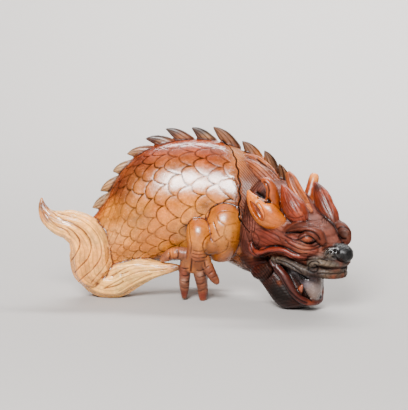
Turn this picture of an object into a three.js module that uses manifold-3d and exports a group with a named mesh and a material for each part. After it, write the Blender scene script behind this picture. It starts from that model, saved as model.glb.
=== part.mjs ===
// A carved dragon-fish (makara): an arched scaly fish body with a flame-edged back ridge, a curled two-lobed
// tail, two short clawed forelegs and a horned dragon head turned to the viewer with its jaws open.
// It is one carved block, so the model is one closed solid. Millimetres, +Z up, head towards +X,
// the viewer's side towards -Y. The origin is under the middle of the figure, on the surface it stands on.
import * as THREE from "three";
import { mergeVertices } from "three/addons/utils/BufferGeometryUtils.js";
import Module from "manifold-3d";

const wasm = await Module();
wasm.setup();

// Driving dimensions
const LENGTH = 174; // tail tip to nose, along X
const REST_FLAT = 0.8; // depth ground off the jaw, tail and claws so that the figure stands
const HEAD_TURN = 40; // degrees that the head turns to the viewer
const HEAD_DIP = 15; // degrees that the nose points below level

// The free forms are drawn at this length, and every drawn value below is scaled by UNIT.
const DRAWN_LENGTH = 174;
const UNIT = LENGTH / DRAWN_LENGTH;
const ORIGIN_SHIFT = [1.5, 12.65, 0]; // from the drawing's origin to the middle of the figure's box
const HEAD_SEAT = [40.6, -18, 50]; // the head's own origin, between the ears, inside the neck

// Body: [top x, top z, bottom x, bottom z, mid-plane y, half thickness] from the tail root to inside the head
const BODY = [
  [-63.5, 42, -60.5, 23, -8, 5],
  [-56, 49.5, -56, 16.5, -5, 9],
  [-49, 60.5, -47, 16, -2, 14],
  [-41.5, 74, -37.5, 16.5, 1, 18.5],
  [-30, 83.5, -26.5, 18.5, 3, 22],
  [-17.5, 88.5, -16, 19.5, 4, 24.5],
  [-3.5, 90, -4.5, 20, 4, 25.5],
  [9.5, 89.5, 7, 20.5, 3, 25],
  [20.5, 86.5, 17.5, 20, 0, 23.5],
  [30.5, 82.5, 26.5, 16.5, -5, 21],
  [39.5, 76.5, 34.5, 14.5, -11, 18.5],
  [47, 69.5, 42, 13.5, -17, 15],
];

// Tubes: [x, y, z, half thickness across, half width in the plane of the bend]
const TAIL_UPPER_LOBE = [
  [-86.5, -15, 59.5, 0.5, 0.5],
  [-86, -15, 54, 2.2, 2.5],
  [-83, -15, 48.5, 3.8, 4.6],
  [-77, -15, 45.2, 5.5, 6.8],
  [-70.5, -14.5, 43.5, 7, 8.4],
  [-64, -13.5, 39.5, 8, 10],
  [-60, -12, 32, 9, 11.3],
  [-59.5, -9.5, 24, 10, 11.8],
  [-58.5, -7, 17, 10, 11.3],
  [-55, -5, 12, 8, 8],
];
const TAIL_LOWER_LOBE = [
  [-63, -4, 15.5, 7, 7.5],
  [-56, -3.5, 11.7, 9.5, 10],
  [-48, -3.5, 10.4, 10.5, 10.7],
  [-40, -5.5, 13.5, 9.5, 10.5],
  [-32, -9, 16, 7, 8],
  [-25, -12, 17.5, 5, 5.5],
  [-18, -14.5, 18.5, 3.4, 3.5],
  [-12, -16.5, 19.5, 2.2, 2.2],
  [-8.5, -18, 20, 1, 1],
];
const UPPER_ARM = [
  [18, -17, 56.5, 3, 4.5],
  [17.5, -20, 52, 7, 8.5],
  [16, -21.5, 45, 9, 10],
  [15, -20.5, 37, 9, 10],
  [14.5, -18, 29.5, 6, 8],
  [14.5, -16, 24, 3, 5],
];
const ELBOW = [
  [15, -21, 36, 7, 6],
  [9, -22, 35, 7, 6.5],
  [3, -23, 36, 6.5, 6],
];
const FOREARM = [
  [2, -20, 46.5, 3, 4],
  [1.8, -23, 43.5, 6.5, 6.8],
  [2, -24.3, 38, 7.2, 7.2],
  [1.5, -24, 32, 6.2, 6.2],
  [0.5, -23, 27, 5, 5.4],
  [-0.5, -21, 22, 4.2, 6.2],
  [0, -19.5, 18.5, 3, 4.5],
];
const TOE_INNER = [
  [-3, -21, 26, 4, 4],
  [-5.5, -19, 21, 3.7, 3.5],
  [-6.3, -17, 14.5, 3.4, 3.2],
  [-6.4, -15, 8.5, 3, 2.9],
  [-6.4, -14, 4.5, 2.3, 2.2],
  [-6.4, -13, 1.2, 1.6, 1.6],
];
const TOE_MIDDLE = [
  [1.5, -22, 26, 4, 4],
  [2, -20.5, 19.5, 3.8, 3.8],
  [3, -18, 13, 3.6, 3.4],
  [4, -16, 7.5, 3.2, 3.1],
  [4, -14.3, 2.6, 2.4, 2.5],
  [4, -13.6, -0.6, 1.6, 1.6],
];
const TOE_OUTER = [
  [4, -22.5, 27, 3.8, 3.8],
  [6.5, -22.5, 22, 3.5, 3.3],
  [9, -22, 17, 3.1, 2.9],
  [11.5, -21.5, 13, 2.2, 2.2],
  [12.6, -21, 11, 1, 1],
];
const TOE_BACK = [
  [-2, -20, 27, 4, 4],
  [-8, -20, 28.5, 3.6, 3.7],
  [-13.5, -19, 28, 3.2, 3.2],
  [-17, -17.5, 25.5, 2.6, 2.6],
  [-19.5, -16, 23.5, 1.2, 1.2],
];
// The far leg's outer toe is tucked under its wrist; on the near side's drawing it would lie here.
const TOE_TUCKED = [
  [3, -22, 27, 3.6, 3.6],
  [4.5, -21.5, 22, 3.4, 3.3],
  [5.5, -20, 17, 3, 2.9],
  [5.5, -18, 12.5, 2.2, 2.2],
  [5, -16.5, 9.5, 1, 1],
];
const LEG = [UPPER_ARM, ELBOW, FOREARM, TOE_INNER, TOE_MIDDLE, TOE_BACK];
const FAR_LEG_PLANE = 0.5; // mid-plane that the far leg mirrors the near leg in

// Back ridge spines: [tip x, tip z, rear foot x, z, front foot x, z, y]
const SPINES = [
  [-59, 51.5, -54, 51, -46.5, 61.5, -5],
  [-54.5, 61, -49.5, 60.5, -42.5, 70.5, -3],
  [-47.5, 72, -42.5, 70, -36, 79, -1],
  [-39.5, 81.5, -32.5, 79.5, -24.5, 86.5, 2],
  [-29, 90.3, -22, 86.5, -11.5, 89.5, 3],
  [-17.5, 96, -10, 88.5, 0, 90, 4],
  [-2.7, 96.8, 2, 89, 12.5, 89.5, 4],
  [9.5, 97.5, 14.5, 88.5, 26, 85.5, 2],
  [26, 90, 28, 83.5, 39.5, 79, -3],
  [38.5, 85.5, 38.5, 78, 48, 72.5, -9],
  [46.5, 79, 46.5, 70, 54, 64, -14],
];
const SPINE_HALF_THICKNESS = 1.7;
const SPINE_ROOT = 4; // how deep a spine's foot sinks into the back
const SPINE_SWELL = 0.3; // how far its upper edge bulges, as a share of the edge's length
const SPINE_HOLLOW = 0.12; // how far its lower edge is hollow, in the same measure

// Skull: [forward, top, bottom, half width] in the head's own frame, from the nape to the nose
const SKULL = [
  [-14, 15, -20, 9],
  [-6, 20, -27, 15],
  [4, 21.5, -27, 19],
  [14, 18.5, -20, 20.5],
  [26, 13, -16.5, 19],
  [34, 10.5, -15.5, 16],
  [40, 8, -15.5, 13.5],
  [45, 4, -15.5, 11.5],
  [50, 0.8, -15, 9],
  [54, -0.8, -14.5, 6.5],
  [56.5, -3.5, -12, 4],
];
// Lower jaw: [top forward, top up, bottom forward, bottom up, half width]
const JAW = [
  [-2, -12, -9, -30, 12],
  [10, -15, 5, -34, 14.5],
  [20, -18, 14, -37.5, 15.5],
  [28, -21, 22.5, -43.3, 14.8],
  [34, -25.5, 29, -44.8, 13.3],
  [39, -29.5, 36, -41.2, 10.5],
  [43, -32.5, 41, -37.8, 7],
  [44.5, -34.5, 43.5, -36.3, 3],
];
// The open mouth, cut between the palate and the lower lip, in the same form as the jaw
const MOUTH = [
  [19, -15.5, 19, -17.5, 30],
  [26, -15, 27, -20, 30],
  [34, -15.5, 33, -25, 30],
  [42, -16, 38, -31, 30],
  [52, -16.5, 44, -37.5, 30],
  [70, -17, 60, -52, 30],
];

// Head details: [forward, side, up, half thickness across, half width]; side is negative towards the viewer
const PAIRED = {
  cheek: [
    [6, -17.5, -7, 2, 3],
    [11, -19, -6, 3.5, 5],
    [17, -19.5, -4, 3.5, 5],
    [24, -18, -1.5, 3, 4],
    [31, -16, -1.5, 4, 4.5],
    [38, -13.5, -2.5, 4, 4.5],
    [44, -10.5, -2, 2, 2],
  ],
  cheek_cord: [
    [6, -18.5, -11, 1.5, 1.3],
    [8, -19.3, -14.3, 2.2, 1.7],
    [12, -19.8, -15, 2.4, 1.8],
    [18.4, -20, -10.2, 2.4, 1.8],
    [28, -18.5, -6.9, 2.4, 1.7],
    [33.5, -16.8, -7.9, 2.2, 1.7],
    [40, -13, -6, 1, 1],
  ],
  eye: [
    [33.5, -15.5, 2, 1, 1],
    [36.5, -15.4, 3.6, 3, 2.4],
    [39.5, -14.4, 4.4, 3, 2.5],
    [42, -13, 4.4, 1, 1],
  ],
  upper_lip: [
    [21, -17.5, -15, 2, 1.5],
    [28, -16.3, -13.8, 2.4, 2],
    [35, -14.2, -14.5, 2.4, 2.3],
    [42, -11.5, -15, 2.4, 2.6],
    [49, -8.5, -13.5, 2.4, 3],
    [54, -4.4, -12.5, 2.2, 3],
    [56.6, 0, -11.5, 2, 3],
  ],
  lip_curl: [
    [42, -11.5, -12, 1.5, 1.5],
    [43, -11.5, -9, 3, 3],
    [46, -10.5, -7.2, 3, 2.6],
    [50.5, -8.2, -6.8, 2.6, 2],
    [54.6, -4, -6.6, 2, 1.8],
  ],
  nose_wing: [
    [46, -7.5, -3, 2, 2],
    [49.5, -6.2, -2, 3.2, 3.2],
    [52.5, -4.8, -1.2, 3, 3.4],
    [54.5, -3.4, -1, 1.5, 1.5],
  ],
  lower_lip: [
    [20.5, -17, -15.5, 2, 1.5],
    [24, -16.8, -18, 2.4, 2],
    [30, -15.5, -22, 2.5, 2.4],
    [34, -13.8, -26.5, 2.5, 2.4],
    [36.6, -12, -30, 2.5, 2.2],
    [40.2, -8.8, -33, 2.4, 2],
    [43, -4.8, -34.4, 2.2, 1.8],
    [44.2, 0, -34.8, 2, 1.6],
  ],
  fang: [
    [37.8, -9, -31, 1.6, 1.6],
    [38.3, -9.2, -27.5, 1.5, 1.5],
    [38.8, -9, -24.5, 0.6, 0.6],
  ],
  jaw_lock: [
    [20, -16.5, -20, 2, 2.5],
    [16.5, -15.5, -25, 3, 4.5],
    [11, -13.5, -28, 3, 4],
    [5, -10.5, -29.5, 1.5, 2],
  ],
};
// The same on one side only: the photographed side's, then the far side's, whose tips stand differently
const NEAR_SIDE = {
  ear: [
    [21.5, -15, 6, 3, 4],
    [17, -18.5, 7, 4.5, 6.3],
    [12, -20.5, 8.7, 4.5, 7.4],
    [6.5, -22, 11.5, 3.6, 5.6],
    [2, -23, 15, 2.2, 2.8],
    [-0.9, -23, 18, 0.6, 0.6],
  ],
  horn: [
    [14, -13, 8, 6, 5],
    [12.6, -15.5, 13.5, 5, 4.5],
    [12, -17.5, 19, 3.8, 3.4],
    [10.8, -19, 23.4, 3.2, 2.9],
    [8.2, -20.2, 26, 2.6, 2.4],
    [5.4, -21, 25.8, 1.4, 1.4],
  ],
  brow_flame: [
    [14, -13.5, 25.6, 1, 1],
    [17.5, -14, 22.8, 3, 3],
    [22, -14, 18.5, 5, 5.8],
    [26.5, -13.5, 15.2, 5.5, 6.6],
    [30.5, -13, 12.8, 4.5, 5],
    [33, -12.5, 11, 2, 2.5],
  ],
  brow: [
    [24.5, -17.5, 3, 1.2, 1.2],
    [29, -17, 6.8, 2.4, 2.4],
    [33.5, -15.5, 8.9, 3, 2.8],
    [38.5, -13.5, 8.8, 3.4, 3.2],
    [43, -11.5, 7, 3.4, 3.6],
    [46, -9.5, 3, 2, 2],
  ],
};
const FAR_SIDE = {
  ear: [
    [21.5, 15, 5, 3, 4],
    [17, 18.5, 5.5, 4.5, 5.6],
    [12, 20.5, 6, 4.5, 6.2],
    [6.5, 21.8, 7.5, 3.6, 5],
    [2, 22.4, 9.5, 2.2, 2.8],
    [-1, 22.6, 11.5, 0.6, 0.6],
  ],
  horn: [
    [15, 13, 9, 5, 4.5],
    [14.2, 15.5, 15, 4, 3.6],
    [12.8, 17.5, 21, 3.2, 3.1],
    [11.6, 19.3, 25, 2.8, 2.8],
    [11.3, 19.8, 27, 1.6, 1.6],
  ],
  brow_flame: [
    [16.9, 13, 24.7, 0.8, 0.8],
    [20.5, 13, 21.2, 3, 3.8],
    [24.5, 12.8, 17.6, 4.2, 5.2],
    [28, 12.3, 13.8, 4.6, 5.6],
    [32, 12, 11.2, 4.5, 5.2],
    [35.5, 11.5, 7.5, 4, 4.2],
    [37, 11, 4, 2, 2],
  ],
  brow: [
    [33, 12, 5, 3, 3],
    [39.5, 12, 7, 3.4, 3.6],
    [45, 11.3, 5.5, 3.4, 3.4],
    [47, 10.6, 2.5, 2.6, 3],
    [46.5, 10, -1, 1.5, 1.5],
  ],
};
const MIDLINE = {
  crest_lock: [
    [6.5, 0, 28.9, 1, 1],
    [9.5, 0, 25.6, 3, 3],
    [14, 0, 21.5, 4, 3.2],
    [20, 0, 17, 3.6, 2.8],
    [28, 0, 12.8, 1, 1],
  ],
  nose_tip: [
    [46.5, 0, -3, 5, 4],
    [51, 0, -1.6, 5.6, 5],
    [55, 0, -1.2, 5.2, 4.8],
    [58.2, 0, -2, 3, 3],
    [59.4, 0, -2.4, 1, 1],
  ],
  tongue: [
    [24, 0, -22, 7, 3],
    [31, 0, -21.5, 7, 4.5],
    [37.5, 0, -23.5, 6.8, 5.5],
    [41, 0, -28.5, 5.5, 4.5],
    [42.5, 0, -33.3, 3, 2.5],
  ],
};
// Cut into each ear, in the same form as the ear
const EAR_HOLLOWS = [
  [
    [3.5, -24.6, 13.6, 0.5, 0.5],
    [6, -25, 12, 2, 1.6],
    [9, -25, 9.8, 2.6, 2.4],
    [12, -24.2, 7.4, 2.2, 2.2],
    [14, -23, 6, 0.6, 0.6],
  ],
  [
    [3.5, 24.2, 9, 0.5, 0.5],
    [6, 25, 8, 2, 1.6],
    [9, 25, 7, 2.6, 2.4],
    [12, 24.2, 6, 2.2, 2.2],
    [14, 23, 5.5, 0.6, 0.6],
  ],
];
// Mane and beard locks: [place along the body, degrees round it, lift, half thickness, half width]
const MANE = {
  crown: [
    [11, 112, 0, 1.2, 2],
    [10.3, 109, 0.2, 2.2, 3.6],
    [9.4, 105, 0, 2.2, 3.6],
    [8.7, 100, -0.8, 1.4, 1.5],
  ],
  upper: [
    [11, 132, -0.2, 1.2, 2],
    [10.3, 127, -0.2, 2, 4],
    [9.4, 121, -0.4, 2, 4],
    [8.6, 112, -1.2, 1.4, 1.5],
  ],
  lower: [
    [10.6, 196, 0.5, 1.5, 2],
    [10, 210, 0.5, 2.6, 4],
    [9.5, 226, 0.3, 2.4, 3.5],
    [9.2, 242, -0.6, 1.2, 1.5],
  ],
};

const BODY_SAG = 0.1; // share by which the belly side is fuller than the back

const TANGENT_STEP = 0.05; // share of a span that a tube's direction is measured over
const UP = new THREE.Vector3(0, 0, 1);
const ACROSS = new THREE.Vector3(0, 1, 0);

// A value read off a list of stations by a Catmull-Rom curve, at place t from 0 to the last station.
function smooth(rows, column, t) {
  const last = rows.length - 1;
  const i = Math.min(Math.floor(t), last - 1);
  const f = t - i;
  const [a, b, c, d] = [i - 1, i, i + 1, i + 2].map((k) => rows[Math.max(0, Math.min(last, k))][column]);
  return b + 0.5 * f * (c - a + f * (2 * a - 5 * b + 4 * c - d + f * (3 * (b - c) + d - a)));
}

// Every column of the stations at place t.
const stationAt = (rows, t) => rows[0].map((_, column) => smooth(rows, column, t));

// A closed skin over rings of points, each ring with the same number, its ends closed by fans.
function skin(rings) {
  const sides = rings[0].length;
  const positions = rings.flat().flatMap((p) => p.toArray());
  const triangles = [];
  for (let r = 0; r + 1 < rings.length; r++) {
    for (let k = 0; k < sides; k++) {
      const [a, b] = [r * sides + k, r * sides + ((k + 1) % sides)];
      triangles.push(a, b, b + sides, a, b + sides, a + sides);
    }
  }
  for (const [r, turn] of [[0, 1], [rings.length - 1, -1]]) {
    const middle = rings[r].reduce((sum, p) => sum.add(p), new THREE.Vector3()).divideScalar(sides);
    const hub = positions.length / 3;
    positions.push(...middle.toArray());
    for (let k = 0; k < sides; k++) {
      const [a, b] = [r * sides + k, r * sides + ((k + 1) % sides)];
      triangles.push(hub, ...(turn > 0 ? [b, a] : [a, b]));
    }
  }
  const geometry = new THREE.BufferGeometry();
  geometry.setAttribute("position", new THREE.Float32BufferAttribute(positions, 3));
  geometry.setIndex(triangles);
  return geometry;
}

// One ring: an ellipse squared off by power, its lower half fuller by the share sag, with ripples round it.
function ring(centre, across, upward, { sides, power = 2, sag = 0, ripples = 0, ripple = 0 }) {
  return Array.from({ length: sides }, (_, k) => {
    const angle = (2 * Math.PI * k) / sides;
    const [c, s] = [Math.cos(angle), Math.sin(angle)];
    const square = (Math.abs(c) ** power + Math.abs(s) ** power) ** (-1 / power);
    const reach = square * (1 + ripple * Math.cos(ripples * angle));
    return centre
      .clone()
      .addScaledVector(across, c * reach * (1 - sag * s))
      .addScaledVector(upward, s * reach)
      .multiplyScalar(UNIT);
  });
}

// A tube along stations [x, y, z, half thickness, half width], steps rings to each span.
function tube(stations, shape) {
  const { steps } = shape;
  const count = (stations.length - 1) * steps;
  const rings = [];
  for (let n = 0; n <= count; n++) {
    const t = n / steps;
    const [x, y, z, thick, wide] = stationAt(stations, t);
    const [before, after] = [-TANGENT_STEP, TANGENT_STEP].map((step) => {
      const near = THREE.MathUtils.clamp(t + step, 0, stations.length - 1);
      return new THREE.Vector3(...stationAt(stations, near).slice(0, 3));
    });
    const along = after.sub(before).normalize();
    const across = ACROSS.clone().addScaledVector(along, -along.dot(ACROSS)).normalize();
    const upward = along.clone().cross(across);
    const centre = new THREE.Vector3(x, y, z);
    rings.push(ring(centre, across.multiplyScalar(thick), upward.multiplyScalar(wide), shape));
  }
  return skin(rings);
}

// A body through stations given by a top point, a bottom point, the mid-plane's y and the half thickness.
function trunk(stations, shape) {
  const count = (stations.length - 1) * shape.steps;
  const rings = [];
  for (let n = 0; n <= count; n++) {
    const [topX, topZ, lowX, lowZ, y, thick] = stationAt(stations, n / shape.steps);
    const top = new THREE.Vector3(topX, y, topZ);
    const low = new THREE.Vector3(lowX, y, lowZ);
    const centre = top.clone().add(low).multiplyScalar(0.5);
    rings.push(ring(centre, ACROSS.clone().multiplyScalar(thick), top.sub(centre), shape));
  }
  return skin(rings);
}

// The same stations on the other side of the plane y = middle.
const mirrored = (stations, middle = 0) => stations.map(([x, y, ...rest]) => [x, 2 * middle - y, ...rest]);

// A spine of the back ridge: a flame-shaped blade with a bulging upper edge and a hollow lower edge.
function spine([tipX, tipZ, rearX, rearZ, frontX, frontZ, y]) {
  const tip = new THREE.Vector2(tipX, tipZ);
  const rear = new THREE.Vector2(rearX, rearZ);
  const front = new THREE.Vector2(frontX, frontZ);
  const along = front.clone().sub(rear).normalize();
  const outward = new THREE.Vector2(-along.y, along.x);
  const edge = (foot, swell) => {
    const crown = foot.clone().lerp(tip, 0.5).addScaledVector(outward, swell * foot.distanceTo(tip));
    return new THREE.QuadraticBezierCurve(foot, crown, tip);
  };
  const [upper, lower] = [edge(front, SPINE_SWELL), edge(rear, -SPINE_HOLLOW)];
  const sunk = [front, rear].map((foot) => foot.clone().addScaledVector(outward, -SPINE_ROOT));
  const rows = [[...sunk[0].toArray(), ...sunk[1].toArray(), y, SPINE_HALF_THICKNESS * 1.5]];
  for (const share of [0, 0.35, 0.7, 0.97]) {
    const [high, low] = [upper.getPoint(share), lower.getPoint(share)];
    rows.push([high.x, high.y, low.x, low.y, y, SPINE_HALF_THICKNESS * (1.2 - 0.8 * share)]);
  }
  return trunk(rows, { sides: 6, steps: 1 });
}

// A lock of hair that lies on the body's skin.
function lock(rows) {
  const laid = rows.map(([place, degrees, lift, thick, wide]) => {
    const [topX, topZ, lowX, lowZ, y, half] = stationAt(BODY, place);
    const angle = THREE.MathUtils.degToRad(degrees);
    const [c, s] = [Math.cos(angle), Math.sin(angle)];
    const reach = 1 + lift / half;
    const up = new THREE.Vector3((topX - lowX) / 2, 0, (topZ - lowZ) / 2);
    const p = new THREE.Vector3((topX + lowX) / 2, y, (topZ + lowZ) / 2);
    p.addScaledVector(up, s * reach).addScaledVector(ACROSS, half * c * (1 - BODY_SAG * s) * reach);
    return [...p.toArray(), thick, wide];
  });
  return tube(laid, { sides: 6, steps: 1 });
}

// A closed three.js geometry as a solid that can be joined and cut.
function solid(geometry) {
  const merged = mergeVertices(geometry, 1e-4);
  const made = new wasm.Manifold(
    new wasm.Mesh({
      numProp: 3,
      vertProperties: new Float32Array(merged.getAttribute("position").array),
      triVerts: new Uint32Array(merged.index.array),
    }),
  );
  return made.volume() < 0 ? solid(flipped(geometry)) : made;
}

// The same geometry with its faces turned round.
function flipped(geometry) {
  const turned = geometry.clone();
  const index = Array.from(geometry.index.array);
  for (let i = 0; i < index.length; i += 3) {
    [index[i + 1], index[i + 2]] = [index[i + 2], index[i + 1]];
  }
  return turned.setIndex(index);
}

// A joined solid back as a three.js geometry.
function geometryOf(made) {
  const mesh = made.getMesh();
  const geometry = new THREE.BufferGeometry();
  geometry.setAttribute("position", new THREE.Float32BufferAttribute(mesh.vertProperties, 3));
  geometry.setIndex(Array.from(mesh.triVerts));
  geometry.computeVertexNormals();
  return geometry;
}

const join = (solids) => solids.reduce((whole, next) => whole.add(next));

// The dragon head, turned and dipped onto the neck.
function head() {
  const seat = new THREE.Matrix4()
    .makeTranslation(...HEAD_SEAT.map((v) => v * UNIT))
    .multiply(new THREE.Matrix4().makeRotationZ(THREE.MathUtils.degToRad(-HEAD_TURN)))
    .multiply(new THREE.Matrix4().makeRotationY(THREE.MathUtils.degToRad(HEAD_DIP)));
  const seated = (geometry) => solid(geometry.applyMatrix4(seat));
  const skullRows = SKULL.map(([forward, top, low, half]) => [forward, top, forward, low, 0, half]);
  const jawRows = JAW.map(([topF, topU, lowF, lowU, half]) => [topF, topU, lowF, lowU, 0, half]);
  const mouthRows = MOUTH.map(([topF, topU, lowF, lowU, half]) => [topF, topU, lowF, lowU, 0, half]);
  const block = join([
    seated(trunk(skullRows, { sides: 16, steps: 1, power: 2.3 })),
    seated(trunk(jawRows, { sides: 14, steps: 1, power: 2.1 })),
  ]);
  const opened = block.subtract(seated(trunk(mouthRows, { sides: 12, steps: 1, power: 2.6 })));
  const rounded = (stations) => seated(tube(stations, { sides: 6, steps: 1 }));
  const single = [NEAR_SIDE, FAR_SIDE, MIDLINE].flatMap((side) => Object.values(side));
  const paired = Object.values(PAIRED).flatMap((stations) => [stations, mirrored(stations)]);
  const details = [...single, ...paired].map(rounded);
  return join([opened, ...details]).subtract(join(EAR_HOLLOWS.map(rounded)));
}

// The tail fin: two fluted lobes that fold over each other.
function tail() {
  const flutes = { power: 2.6, ripples: 10, ripple: 0.04, sides: 20, steps: 2 };
  return join([solid(tube(TAIL_UPPER_LOBE, flutes)), solid(tube(TAIL_LOWER_LOBE, flutes))]);
}

// Both forelegs with their toes.
function legs() {
  const near = [...LEG, TOE_OUTER].map((stations) => solid(tube(stations, { sides: 8, steps: 1 })));
  const far = [...LEG, TOE_TUCKED].map((stations) => {
    return solid(tube(mirrored(stations, FAR_LEG_PLANE), { sides: 6, steps: 1 }));
  });
  return join([...near, ...far]);
}

function figure() {
  const body = solid(trunk(BODY, { sides: 22, steps: 2, sag: BODY_SAG }));
  const mane = Object.values(MANE).flatMap((rows) => {
    const farSide = rows.map(([place, degrees, ...rest]) => [place, 180 - degrees, ...rest]);
    return [solid(lock(rows)), solid(lock(farSide))];
  });
  const ridge = SPINES.map((row) => solid(spine(row)));
  const carved = join([body, ...ridge, ...mane, tail(), legs(), head()]);
  const placed = carved.translate(ORIGIN_SHIFT.map((v) => v * UNIT));
  const lowest = placed.boundingBox().min[2];
  return placed.trimByPlane(UP.toArray(), lowest + REST_FLAT).translate([0, 0, -lowest - REST_FLAT]);
}

const stone = new THREE.MeshStandardMaterial({ color: 0xa8602c, roughness: 0.3, metalness: 0 });
const dragonFish = new THREE.Mesh(geometryOf(figure()), stone);
dragonFish.name = "dragon_fish";

const group = new THREE.Group();
group.add(dragonFish);
export default group;
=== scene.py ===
"""A carved jade dragon-fish on a plain pale floor, at the photograph's angle.

The figure is one stone. Its fine mesh is drawn from the same stations as the solid that carries it, joined
into one skin, carved with scales, flutes, hair and folds, and stained region by region, with painted shade
in its hollows and in a few patches, and a few painted highlights. Lengths in the drawing tables are
millimetres of the drawing; the frame's box gives the scale and the place of everything.
"""

import logging
import math
from dataclasses import dataclass, field, replace
from enum import Enum
from typing import Iterable, Sequence

import bpy
import numpy as np
from mathutils import Matrix, Vector
from mathutils.bvhtree import BVHTree

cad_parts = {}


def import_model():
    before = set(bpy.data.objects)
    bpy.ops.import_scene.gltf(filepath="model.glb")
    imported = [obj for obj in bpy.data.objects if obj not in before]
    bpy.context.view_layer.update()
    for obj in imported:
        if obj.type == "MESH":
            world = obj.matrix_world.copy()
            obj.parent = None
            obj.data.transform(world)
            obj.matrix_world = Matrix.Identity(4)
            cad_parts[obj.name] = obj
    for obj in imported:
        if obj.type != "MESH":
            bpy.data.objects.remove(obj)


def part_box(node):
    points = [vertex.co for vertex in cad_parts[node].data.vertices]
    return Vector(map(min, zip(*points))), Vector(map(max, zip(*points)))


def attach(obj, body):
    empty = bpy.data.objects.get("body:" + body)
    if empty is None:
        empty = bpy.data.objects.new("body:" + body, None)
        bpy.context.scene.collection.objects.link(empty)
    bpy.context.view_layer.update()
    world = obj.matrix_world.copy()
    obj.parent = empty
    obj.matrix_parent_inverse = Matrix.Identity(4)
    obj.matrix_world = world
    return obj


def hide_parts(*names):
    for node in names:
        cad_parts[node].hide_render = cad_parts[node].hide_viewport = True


LOG = logging.getLogger("dragon_fish")
NODE = "dragon_fish"

Rows = Sequence[Sequence[float]]
Pixel = tuple[float, float]
Sockets = dict[str, bpy.types.NodeSocket]

MM = 0.001
DRAWN_LENGTH = 173.92  # drawing millimetres from tail tip to nose
VOXEL = 0.42  # millimetres, grid that joins the drawn forms into one skin
MOST_TRIANGLES = 196_000

# Body: [top x, top z, bottom x, bottom z, mid-plane y, half thickness]
BODY: Rows = (
    (-63.5, 42, -60.5, 23, -8, 5),
    (-56, 49.5, -56, 16.5, -5, 9),
    (-49, 60.5, -47, 16, -2, 14),
    (-41.5, 74, -37.5, 16.5, 1, 18.5),
    (-30, 83.5, -26.5, 18.5, 3, 22),
    (-17.5, 88.5, -16, 19.5, 4, 24.5),
    (-3.5, 90, -4.5, 20, 4, 25.5),
    (9.5, 89.5, 7, 20.5, 3, 25),
    (20.5, 86.5, 17.5, 20, 0, 23.5),
    (30.5, 82.5, 26.5, 16.5, -5, 21),
    (39.5, 76.5, 34.5, 14.5, -11, 18.5),
    (47, 69.5, 42, 13.5, -17, 15),
)
BODY_SAG = 0.1
BODY_MIDDLE_X = [(row[0] + row[2]) / 2 for row in BODY]
BODY_MIDDLE_Y = [row[4] for row in BODY]

# Tubes: [x, y, z, half thickness across, half width in the plane of the bend]
TAIL_UPPER_LOBE: Rows = (
    (-86.5, -15, 59.5, 0.5, 0.5),
    (-86, -15, 54, 2.2, 2.5),
    (-83, -15, 48.5, 3.8, 4.6),
    (-77, -15, 45.2, 5.5, 6.8),
    (-70.5, -14.5, 43.5, 7, 8.4),
    (-64, -13.5, 39.5, 8, 10),
    (-60, -12, 32, 9, 11.3),
    (-59.5, -9.5, 24, 10, 11.8),
    (-58.5, -7, 17, 10, 11.3),
    (-55, -5, 12, 8, 8),
)
TAIL_LOWER_LOBE: Rows = (
    (-63, -4, 15.5, 7, 7.5),
    (-56, -3.5, 11.7, 9.5, 10),
    (-48, -3.5, 10.4, 10.5, 10.7),
    (-40, -5.5, 13.5, 9.5, 10.5),
    (-32, -9, 16, 7, 8),
    (-25, -12, 17.5, 5, 5.5),
    (-18, -14.5, 18.5, 3.4, 3.5),
    (-12, -16.5, 19.5, 2.2, 2.2),
    (-8.5, -18, 20, 1, 1),
)
ARM: dict[str, Rows] = {
    "upper_arm": (
        (18, -17, 56.5, 3, 4.5),
        (17.5, -20, 52, 7, 8.5),
        (16, -21.5, 45, 9, 10),
        (15, -20.5, 37, 9, 10),
        (14.5, -18, 29.5, 6, 8),
        (14.5, -16, 24, 3, 5),
    ),
    "elbow": ((15, -21, 36, 7, 6), (9, -22, 35, 7, 6.5), (3, -23, 36, 6.5, 6)),
    "forearm": (
        (2, -20, 46.5, 3, 4),
        (1.8, -23, 43.5, 6.5, 6.8),
        (2, -24.3, 38, 7.2, 7.2),
        (1.5, -24, 32, 6.2, 6.2),
        (0.5, -23, 27, 5, 5.4),
        (-0.5, -21, 22, 4.2, 6.2),
        (0, -19.5, 18.5, 3, 4.5),
    ),
}
TOES: dict[str, Rows] = {
    "toe_inner": (
        (-3, -21, 26, 4, 4),
        (-5.5, -19, 21, 3.7, 3.5),
        (-6.3, -17, 14.5, 3.4, 3.2),
        (-6.4, -15, 8.5, 3, 2.9),
        (-6.4, -14, 4.5, 2.3, 2.2),
        (-6.4, -13, 1.2, 1.6, 1.6),
    ),
    "toe_middle": (
        (1.5, -22, 26, 4, 4),
        (2, -20.5, 19.5, 3.8, 3.8),
        (3, -18, 13, 3.6, 3.4),
        (4, -16, 7.5, 3.2, 3.1),
        (4, -14.3, 2.6, 2.4, 2.5),
        (4, -13.6, -0.6, 1.6, 1.6),
    ),
    "toe_back": (
        (-2, -20, 27, 4, 4),
        (-8, -20, 28.5, 3.6, 3.7),
        (-13.5, -19, 28, 3.2, 3.2),
        (-17, -17.5, 25.5, 2.6, 2.6),
        (-19.5, -16, 23.5, 1.2, 1.2),
    ),
}
TOE_OUTER: Rows = (
    (4, -22.5, 27, 3.8, 3.8),
    (6.5, -22.5, 22, 3.5, 3.3),
    (9, -22, 17, 3.1, 2.9),
    (11.5, -21.5, 13, 2.2, 2.2),
    (12.6, -21, 11, 1, 1),
)
TOE_TUCKED: Rows = (
    (3, -22, 27, 3.6, 3.6),
    (4.5, -21.5, 22, 3.4, 3.3),
    (5.5, -20, 17, 3, 2.9),
    (5.5, -18, 12.5, 2.2, 2.2),
    (5, -16.5, 9.5, 1, 1),
)
FAR_LEG_PLANE = 0.5  # middle plane of the two forelegs
TAIL_PLANE = -11.0  # middle plane of the tail lobes

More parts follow.
